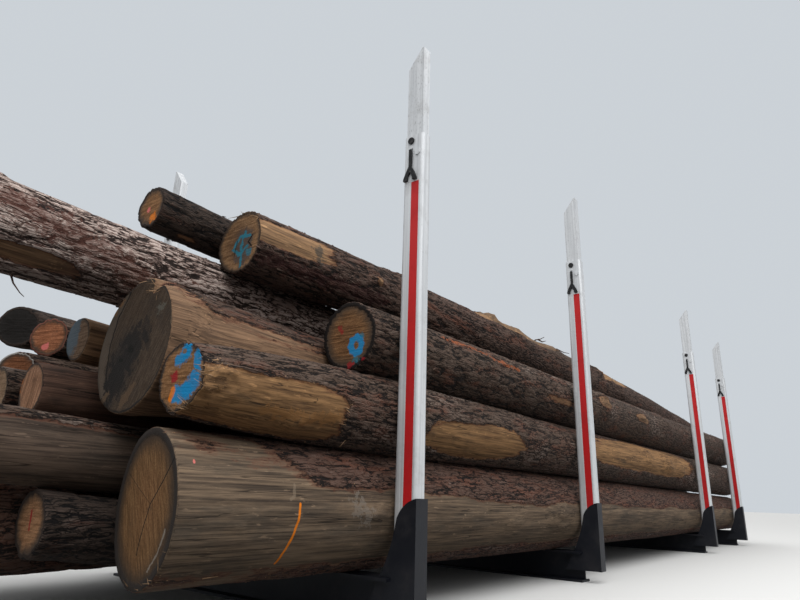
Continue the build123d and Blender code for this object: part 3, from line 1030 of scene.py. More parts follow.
        for row in range(rows - 1):
            strip((row + 1) * across + k, row * across + k, Face.SIDE)
        fans, fan_slots = [], []
        start = rows * across
        for edge, face in ((0, Face.NEAR_END), (rows - 1, Face.FAR_END)):
            outer = edge * across + k
            for ring in range(rings):
                inner = start + ring * across + k
                pair = (outer, inner) if face is Face.NEAR_END else (inner, outer)
                strip(*pair, face)
                outer = inner
            centre = start + rings * across
            tip = np.full(across, centre)
            pair = (outer, outer[beyond]) if face is Face.NEAR_END else (outer[beyond], outer)
            fans.append(np.stack([*pair, tip], axis=1))
            fan_slots.append(np.full(across, face.value))
            start = centre + 1
        mesh = bpy.data.meshes.new(self.look.node)
        faces = np.concatenate(quads).tolist() + np.concatenate(fans).tolist()
        mesh.from_pydata(points.tolist(), [], faces)
        mesh.polygons.foreach_set("material_index", np.concatenate(slots + fan_slots).astype(np.int32))
        mesh.polygons.foreach_set("use_smooth", np.ones(len(mesh.polygons), dtype=bool))
        mesh.update()
        piece = bpy.data.objects.new(f"{self.look.node}_skin", mesh)
        bpy.context.scene.collection.objects.link(piece)
        return piece


class NodeTree:
    """Short calls that build a Geometry Nodes tree with named inputs."""

    def __init__(self, name: str, numbers: tuple[str, ...], counts: tuple[str, ...] = ()) -> None:
        """Start a tree with one geometry input, numbers and whole numbers."""
        self.tree = bpy.data.node_groups.new(name, "GeometryNodeTree")
        self.tree.interface.new_socket("Base", in_out="INPUT", socket_type="NodeSocketGeometry")
        for number in numbers:
            self.tree.interface.new_socket(number, in_out="INPUT", socket_type="NodeSocketFloat")
        for count in counts:
            self.tree.interface.new_socket(count, in_out="INPUT", socket_type="NodeSocketInt")
        self.tree.interface.new_socket("Finish", in_out="INPUT", socket_type="NodeSocketMaterial")
        self.tree.interface.new_socket("Geometry", in_out="OUTPUT", socket_type="NodeSocketGeometry")
        self.inputs = self.add("NodeGroupInput").outputs

    def add(self, kind: str, **settings: object) -> bpy.types.Node:
        """Add a node and set its properties."""
        node = self.tree.nodes.new(kind)
        for name, value in settings.items():
            setattr(node, name, value)
        return node

    def join(self, source: Socket, target: Socket) -> None:
        """Link two sockets."""
        self.tree.links.new(source, target)

    def maths(self, operation: str, a: Socket, b: object) -> Socket:
        """One Math node."""
        node = self.add("ShaderNodeMath", operation=operation)
        self.join(a, node.inputs[0])
        if isinstance(b, Socket):
            self.join(b, node.inputs[1])
        else:
            node.inputs[1].default_value = b
        return node.outputs[0]

    def end(self, geometry: Socket) -> bpy.types.NodeTree:
        """Realize instances, set the finish and close the tree."""
        real = self.add("GeometryNodeRealizeInstances")
        finish = self.add("GeometryNodeSetMaterial")
        self.join(geometry, real.inputs[0])
        self.join(real.outputs[0], finish.inputs["Geometry"])
        self.join(self.inputs["Finish"], finish.inputs["Material"])
        self.join(finish.outputs[0], self.add("NodeGroupOutput").inputs[0])
        return self.tree

    @staticmethod
    def grow(name: str, base: bpy.types.Mesh, tree: bpy.types.NodeTree,
             values: dict[str, object]) -> bpy.types.Object:
        """Run a tree on a mesh and keep the result as a plain mesh.

        Args:
            name: Name of the new piece.
            base: What the tree starts from.
            tree: The tree.
            values: Its inputs, by name.

        Returns:
            The new piece.
        """
        holder = bpy.data.objects.new(f"{name}_base", base)
        bpy.context.scene.collection.objects.link(holder)
        modifier = holder.modifiers.new("grow", "NODES")
        modifier.node_group = tree
        for item in tree.interface.items_tree:
            if item.in_out == "INPUT" and item.name in values:
                modifier[item.identifier] = values[item.name]
        bpy.context.view_layer.update()
        grown = holder.evaluated_get(bpy.context.evaluated_depsgraph_get())
        mesh = bpy.data.meshes.new_from_object(grown)
        bpy.data.objects.remove(holder)
        mesh.name = name
        piece = bpy.data.objects.new(name, mesh)
        bpy.context.scene.collection.objects.link(piece)
        return piece


@dataclass
class LooseWood:
    """Splinters, flakes of bark and twigs."""

    sides: int = 5
    twig_sides: int = 7
    first_seed: int = 11
    torn_fibre: tuple[Colour, Colour] = ((0.40, 0.25, 0.14), (0.13, 0.08, 0.045))
    loose_bark: tuple[Colour, Colour] = ((0.13, 0.085, 0.065), (0.025, 0.017, 0.014))
    twig_bark: tuple[Colour, Colour] = ((0.10, 0.055, 0.040), (0.03, 0.018, 0.014))
    pale_fibre: tuple[Colour, Colour] = ((0.50, 0.33, 0.20), (0.24, 0.14, 0.08))

    def finish(self, name: str, light: Colour, dark: Colour) -> bpy.types.Material:
        """Stringy wood or bark between two colours.

        Args:
            name: Name of the material.
            light: Its lighter colour.
            dark: Its darker colour.

        Returns:
            The material.
        """
        sketch = NodeSketch(name)
        tone = sketch.noise(sketch.place, 30.0, 4.0, 0.6)
        fine = sketch.noise(sketch.place, 400.0, 2.0)
        return sketch.close(sketch.mix(dark, light, sketch.between(tone, 0.35, 0.65)), 0.9,
                            sketch.bump(fine, 0.0006), Specular_IOR_Level=0.2)

    def strewn(self) -> bpy.types.NodeTree:
        """Tapered slivers on the surface where the fray attribute says so.

        Returns:
            The tree.
        """
        nodes = NodeTree("strewn", ("Per square metre", "Length", "Width", "Thickness", "Stand"), ("Seed",))
        given = nodes.inputs
        fray = nodes.add("GeometryNodeInputNamedAttribute", data_type="FLOAT")
        fray.inputs["Name"].default_value = "fray"
        points = nodes.add("GeometryNodeDistributePointsOnFaces", distribute_method="RANDOM")
        nodes.join(given["Base"], points.inputs["Mesh"])
        crowd = nodes.maths("MULTIPLY", fray.outputs[0], given["Per square metre"])
        nodes.join(crowd, points.inputs["Density"])
        nodes.join(given["Seed"], points.inputs["Seed"])
        sliver = nodes.add("GeometryNodeMeshCone")
        sliver.inputs["Vertices"].default_value = self.sides
        sliver.inputs["Radius Top"].default_value = 0.12
        sliver.inputs["Radius Bottom"].default_value = 0.5
        sliver.inputs["Depth"].default_value = 1.0
        along = nodes.add("FunctionNodeRandomValue", data_type="FLOAT_VECTOR")
        along.inputs[0].default_value, along.inputs[1].default_value = (-1.0, -0.3, -0.3), (1.0, 0.3, 0.3)
        nodes.join(given["Seed"], along.inputs["Seed"])
        out = nodes.add("ShaderNodeVectorMath", operation="SCALE")
        nodes.join(points.outputs["Normal"], out.inputs[0])
        nodes.join(given["Stand"], out.inputs["Scale"])
        both = nodes.add("ShaderNodeVectorMath", operation="ADD")
        nodes.join(along.outputs[0], both.inputs[0])
        nodes.join(out.outputs[0], both.inputs[1])
        turn = nodes.add("FunctionNodeAlignEulerToVector", axis="Z")
        nodes.join(both.outputs[0], turn.inputs["Vector"])
        vary = nodes.add("FunctionNodeRandomValue", data_type="FLOAT")
        vary.inputs[2].default_value, vary.inputs[3].default_value = 0.35, 1.25
        size = nodes.add("ShaderNodeCombineXYZ")
        for socket, name in zip(size.inputs, ("Width", "Thickness", "Length")):
            nodes.join(nodes.maths("MULTIPLY", given[name], vary.outputs[1]), socket)
        placed = nodes.add("GeometryNodeInstanceOnPoints")
        nodes.join(points.outputs["Points"], placed.inputs["Points"])
        nodes.join(sliver.outputs["Mesh"], placed.inputs["Instance"])
        nodes.join(turn.outputs[0], placed.inputs["Rotation"])
        nodes.join(size.outputs[0], placed.inputs["Scale"])
        return nodes.end(placed.outputs[0])

    def twig_tree(self) -> bpy.types.NodeTree:
        """A tapered round twig along each line of the base.

        Returns:
            The tree.
        """
        nodes = NodeTree("twig", ("Thickness", "Taper"))
        given = nodes.inputs
        curve = nodes.add("GeometryNodeMeshToCurve")
        nodes.join(given["Base"], curve.inputs["Mesh"])
        ring = nodes.add("GeometryNodeCurvePrimitiveCircle")
        ring.inputs["Resolution"].default_value = self.twig_sides
        ring.inputs["Radius"].default_value = 0.5
        share = nodes.add("GeometryNodeSplineParameter").outputs["Factor"]
        narrowed = nodes.maths("MULTIPLY_ADD", share, given["Taper"])
        narrowed.node.inputs[2].default_value = 1.0
        tube = nodes.add("GeometryNodeCurveToMesh")
        nodes.join(curve.outputs[0], tube.inputs["Curve"])
        nodes.join(ring.outputs["Curve"], tube.inputs["Profile Curve"])
        nodes.join(nodes.maths("MULTIPLY", narrowed, given["Thickness"]), tube.inputs["Scale"])
        tube.inputs["Fill Caps"].default_value = True
        return nodes.end(tube.outputs[0])

    def strew(self, looks: tuple[LogLook, ...]) -> None:
        """Strew splinters and flakes over the logs that have them."""
        tree = self.strewn()
        fibre = self.finish("torn_fibre", *self.torn_fibre)
        crust = self.finish("loose_bark", *self.loose_bark)
        splinter = {"Length": 0.050, "Width": 0.0040, "Thickness": 0.0022, "Stand": 0.35, "Finish": fibre}
        flake = {"Length": 0.032, "Width": 0.014, "Thickness": 0.0040, "Stand": 0.25, "Finish": crust}
        for k, look in enumerate(looks):
            skin = bpy.data.objects[f"{look.node}_skin"].data
            wanted = (("splinters", splinter, look.splinters), ("flakes", flake, look.flakes))
            for kind, size, count in wanted:
                if not count:
                    continue
                base = skin.copy()
                if kind == "flakes":
                    self._whole_bark(base)
                values = {"Per square metre": count, "Seed": self.first_seed + k, **size}
                piece = NodeTree.grow(f"{look.node}_{kind}", base, tree, values)
                self.keep(piece)

    def _whole_bark(self, base: bpy.types.Mesh) -> None:
        """Let flakes lie on all the bark that the camera comes near to."""
        rim, bark = np.empty(len(base.vertices), np.float32), np.empty(len(base.vertices), np.float32)
        base.attributes["rim"].data.foreach_get("value", rim)
        base.attributes["bark"].data.foreach_get("value", bark)
        near = smooth_step(-4.5, -2.5, rim) * (rim < 0)
        whole = (near * smooth_step(0.0, 0.01, bark)).astype(np.float32)
        base.attributes["fray"].data.foreach_set("value", whole)

    def twigs(self) -> None:
        """Twigs and torn fibres that stand out from the logs."""
        tree = self.twig_tree()
        dark = self.finish("twig_bark", *self.twig_bark)
        pale = self.finish("pale_fibre", *self.pale_fibre)
        for twig in TWIGS:
            mesh = bpy.data.meshes.new(twig.name)
            points, edges = [], []
            for line in twig.lines:
                edges += [(len(points) + k, len(points) + k + 1) for k in range(len(line) - 1)]
                points += line
            mesh.from_pydata(points, edges, [])
            values = {"Thickness": twig.thickness, "Taper": twig.taper,
                      "Finish": dark if twig.cover is Ground.BARK else pale}
            self.keep(NodeTree.grow(twig.name, mesh, tree, values))

    def keep(self, piece: bpy.types.Object) -> None:
        """Let a piece ride with the stack and log its triangle count."""
        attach(piece, "root")
        log.info("%s: %d triangles", piece.name, sum(len(face.vertices) - 2 for face in piece.data.polygons))


@dataclass
class Stack:
    """All the logs."""

    looks: tuple[LogLook, ...]

    def build(self) -> None:
        """Dress each packed log and put the skin in its place."""
        total = 0
        for seed, look in enumerate(self.looks):
            piece = DressedLog(look, 100 * seed).build()
            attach(piece, "root")
            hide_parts(look.node)
            count = sum(len(face.vertices) - 2 for face in piece.data.polygons)
            total += count
            log.info("%s: %d triangles", piece.name, count)
        log.info("logs: %d triangles", total)


@dataclass
class StakeBunks:
    """Finishes of the bolsters, stakes, extensions and latches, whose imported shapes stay."""

    stripe_inner: float = 1.181
    stripe_outer: float = 1.230
    stripe_top: float = 2.142
    drawn_dark: Colour = (0.56, 0.575, 0.59)
    drawn_light: Colour = (0.75, 0.765, 0.78)
    smudge: Colour = (0.40, 0.40, 0.40)
    pit: Colour = (0.07, 0.07, 0.07)
    red: Colour = (0.56, 0.010, 0.012)
    worn_red: Colour = (0.46, 0.010, 0.012)
    paint: Colour = (0.005, 0.006, 0.010)
    dust: Colour = (0.022, 0.021, 0.024)
    scratch: Colour = (0.12, 0.115, 0.11)
    oiled: Colour = (0.012, 0.012, 0.013)
    rubbed: Colour = (0.10, 0.095, 0.09)

    def aluminium(self, name: str, striped: bool) -> bpy.types.Material:
        """Drawn aluminium with handling marks, and a red stripe on the near face of a stake.

        Args:
            name: Name of the material.
            striped: Whether it is a stake's, with the stripe.

        Returns:
            The material.
        """
        sketch = NodeSketch(name)
        long_noise = sketch.streaks((60, 60, 1.2), 5.0, 0.6)
        speck = sketch.streaks((1, 1, 0.45), 3.0, 0.7, 190.0)
        cloudy = sketch.noise(sketch.place, 9.0, 5.0, 0.6)
        colour = sketch.tint(self.drawn_dark, self.drawn_light, long_noise, 0.3, 0.7)
        colour = sketch.tint(colour, self.smudge, cloudy, 0.5, 0.75, 0.0, 0.5)
        worn = (0.66, 0.74) if striped else (0.60, 0.68)
        colour = sketch.tint(colour, self.pit, speck, *worn, 0.0, 0.8)
        rough = sketch.between(cloudy, 0.3, 0.7, 0.40, 0.60)
        metal = 0.35
        if striped:
            parts = sketch.add("ShaderNodeSeparateXYZ")
            sketch.feed(parts.inputs[0], sketch.place)
            facing = sketch.add("ShaderNodeSeparateXYZ")
            sketch.feed(facing.inputs[0], sketch.add("ShaderNodeNewGeometry").outputs["True Normal"])
            side = sketch.maths("ABSOLUTE", parts.outputs[1])
            inside = sketch.maths("MULTIPLY", sketch.maths("GREATER_THAN", side, self.stripe_inner),
                                  sketch.maths("LESS_THAN", side, self.stripe_outer))
            low = sketch.maths("LESS_THAN", parts.outputs[2], self.stripe_top)
            near = sketch.maths("LESS_THAN", facing.outputs[0], -0.7)
            share = sketch.maths("MULTIPLY", inside, sketch.maths("MULTIPLY", low, near))
            scuffs = sketch.between(speck, 0.70, 0.75, 1.0, 0.6)
            red = sketch.tint(self.red, self.worn_red, cloudy, 0.4, 0.7)
            colour = sketch.mix(colour, red, sketch.maths("MULTIPLY", share, scuffs))
            rough = sketch.maths("MULTIPLY_ADD", share, 0.10, rough)
            sketch.feed(sketch.shader.inputs["Metallic"], sketch.maths("MULTIPLY_ADD", share, -metal, metal))
            return sketch.close(colour, rough, sketch.bump(speck, 0.0006), Specular_IOR_Level=0.35)
        return sketch.close(colour, rough, sketch.bump(speck, 0.0008), Metallic=metal)

    def painted_steel(self) -> bpy.types.Material:
        """Black paint with dust and scuffs."""
        sketch = NodeSketch("black_paint")
        dust = sketch.noise(sketch.place, 6.0, 6.0, 0.65)
        scratch = sketch.streaks((1, 1, 0.3), 3.0, 0.7, 120.0)
        colour = sketch.tint(self.paint, self.dust, dust, 0.45, 0.75)
        colour = sketch.tint(colour, self.scratch, scratch, 0.72, 0.80, 0.0, 0.5)
        return sketch.close(colour, sketch.between(dust, 0.3, 0.7, 0.42, 0.62), sketch.bump(scratch, 0.0005),
                            Specular_IOR_Level=0.3)

    def latch_steel(self) -> bpy.types.Material:
        """Dark oily steel with rubbed, worn spots."""
        sketch = NodeSketch("latch_steel")
        wear = sketch.noise(sketch.place, 60.0, 5.0, 0.65)
        colour = sketch.tint(self.oiled, self.rubbed, wear, 0.52, 0.74)
        rough = sketch.between(wear, 0.3, 0.7, 0.4, 0.65)
        return sketch.close(colour, rough, sketch.bump(wear, 0.0008), Metallic=0.5)

    def build(self) -> None:
        """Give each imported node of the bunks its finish."""
        finishes = {
            "stake": self.aluminium("striped_aluminium", True),
            "extension": self.aluminium("plain_aluminium", False),
            "bolster": self.painted_steel(),
            "latch": self.latch_steel(),
        }
        for name, node in frame["nodes"].items():
            kind = name.split("_")[0]
            if kind in finishes:
                node.data.materials.clear()
                node.data.materials.append(finishes[kind])
        log.info("bunks finished")


class SkySketch(NodeSketch):
    """Short calls that build the sky's nodes."""

    def __init__(self, world: bpy.types.World) -> None:
        """Take the world's tree and its directions."""
        self.tree = world.node_tree
        self.place = self.add("ShaderNodeTexCoord").outputs["Generated"]


@dataclass
class Studio:
    """Camera, floor and soft light."""

    eye: Point = (-6.100, -2.901, 0.550)
    heading: float = 37.99
    pitch: float = 18.04
    roll: float = 1.79
    focal_pixels: float = 598.0
    image_width: float = 800.0
    sensor_width: float = 36.0
    floor_reach: float = 60.0
    backdrop: Colour = (0.60, 0.64, 0.68)
    sky_low: float = 0.12
    sky_high: float = 1.5
    lamp_power: float = 900.0
    lamp_size: Pair = (14.0, 9.0)
    lamp_place: Point = (-5.0, -6.0, 9.0)
    lamp_aim: Point = (-2.0, 0.0, 1.0)

    def camera(self) -> None:
        """Stand where the photographer stood."""
        data = bpy.data.cameras.new("camera")
        data.sensor_width = self.sensor_width
        data.lens = self.focal_pixels / self.image_width * data.sensor_width
        data.clip_start, data.clip_end = 0.05, 200.0
        heading, pitch, roll = map(math.radians, (self.heading, self.pitch, self.roll))
        flat = math.cos(pitch)
        ahead = Vector((flat * math.cos(heading), flat * math.sin(heading), math.sin(pitch)))
        level = Vector((math.sin(heading), -math.cos(heading), 0.0))
        upright = level.cross(ahead)
        right = level * math.cos(roll) + upright * math.sin(roll)
        up = upright * math.cos(roll) - level * math.sin(roll)
        turn = Matrix((right, up, -ahead)).transposed().to_4x4()
        camera = bpy.data.objects.new("camera", data)
        camera.matrix_world = Matrix.Translation(self.eye) @ turn
        bpy.context.scene.collection.objects.link(camera)
        bpy.context.scene.camera = camera

    def floor(self) -> None:
        """A plain pale floor that gives back little light."""
        mesh = bpy.data.meshes.new("floor")
        far = self.floor_reach
        mesh.from_pydata([(-far, -far, 0), (far, -far, 0), (far, far, 0), (-far, far, 0)], [], [(0, 1, 2, 3)])
        floor = bpy.data.objects.new("floor", mesh)
        bpy.context.scene.collection.objects.link(floor)
        sketch = NodeSketch("floor_paint")
        rays = sketch.add("ShaderNodeLightPath")
        seen = sketch.maths("MAXIMUM", rays.outputs["Is Camera Ray"], rays.outputs["Is Glossy Ray"])
        mesh.materials.append(sketch.close(sketch.mix((0.06, 0.06, 0.06), (0.62, 0.62, 0.61), seen), 0.9))

    def sky(self) -> None:
        """An overcast sky that is brighter overhead, and plain grey where the camera sees it."""
        world = bpy.data.worlds.new("sky")
        bpy.context.scene.world = world
        world.use_nodes = True
        sketch = SkySketch(world)
        rays = sketch.add("ShaderNodeLightPath").outputs
        seen = sketch.maths("MAXIMUM", rays["Is Camera Ray"], rays["Is Glossy Ray"])
        split = sketch.add("ShaderNodeSeparateXYZ")
        sketch.feed(split.inputs[0], sketch.place)
        rise = sketch.add("ShaderNodeMapRange")
        for name, value in (("Value", split.outputs[2]), ("From Min", -0.1), ("From Max", 0.9),
                            ("To Min", self.sky_low), ("To Max", self.sky_high)):
            sketch.feed(rise.inputs[name], value)
        grey = sketch.add("ShaderNodeCombineColor")
        for socket in grey.inputs:
            sketch.feed(socket, rise.outputs[0])
        background = world.node_tree.nodes["Background"]
        sketch.feed(background.inputs["Color"], sketch.mix(grey.outputs[0], self.backdrop, seen))
        background.inputs["Strength"].default_value = 1.0

    def lamp(self) -> None:
        """One large soft lamp above, on the photographer's side."""
        lamp = bpy.data.lights.new("overhead", "AREA")
        lamp.shape, lamp.energy = "RECTANGLE", self.lamp_power
        lamp.size, lamp.size_y = self.lamp_size
        overhead = bpy.data.objects.new("overhead", lamp)
        overhead.location = self.lamp_place
        overhead.rotation_mode = "QUATERNION"
        away = overhead.location - Vector(self.lamp_aim)
        overhead.rotation_quaternion = away.to_track_quat("Z", "Y")
        bpy.context.scene.collection.objects.link(overhead)

    def build(self) -> None:
        """Set up the whole studio."""
        self.camera()
        self.floor()
        self.sky()
        self.lamp()
        bpy.context.scene.view_settings.view_transform = "Standard"


BLACK = (0.006, 0.005, 0.004)
CHAR = (0.014, 0.012, 0.011)
BLUE = (0.006, 0.24, 0.52)
TEAL = (0.020, 0.17, 0.24)
ORANGE = (0.75, 0.20, 0.01)
RED = (0.30, 0.012, 0.018)
PINK = (0.62, 0.16, 0.14)
RUST = (0.30, 0.085, 0.030)


def blot(y: float, z: float, width: float, colour: Colour,
         ragged: float = 0.5, strength: float = 0.9) -> Mark:
    """A round spot on an end."""
    return Mark(((0, y - 0.003, z), (0, y + 0.003, z)), width, colour, ragged, strength)


def scrawl(width: float, colour: Colour, *places: Pair, ragged: float = 0.4, strength: float = 0.9) -> Mark:
    """A stroke on an end through places given by their Y and Z."""
    return Mark(tuple((0.0, y, z) for y, z in places), width, colour, ragged, strength)


def hoop(y: float, z: float, wide: float, high: float, width: float, colour: Colour) -> Mark:
    """A closed loop of paint on an end."""
    turns = [2 * math.pi * k / 8 for k in range(9)]
    return scrawl(width, colour, *((y + wide * math.cos(t), z + high * math.sin(t)) for t in turns))


GREYED = WoodFinish((0.185, 0.130, 0.085), (0.050, 0.036, 0.026), (0.085, 0.068, 0.052), 0.6)
RED_BARK = BarkFinish(ridge=(0.085, 0.045, 0.032), rust_share=0.75, pale_share=0.2)
# Bark darkened to near black: painted shade for logs that lie deep in the shade of their neighbours.
PAINTED_SHADE_BARK = BarkFinish(ridge=(0.040, 0.028, 0.022), furrow=(0.005, 0.004, 0.004), rust=(0.055, 0.022, 0.014),
                    pale=(0.085, 0.062, 0.052))

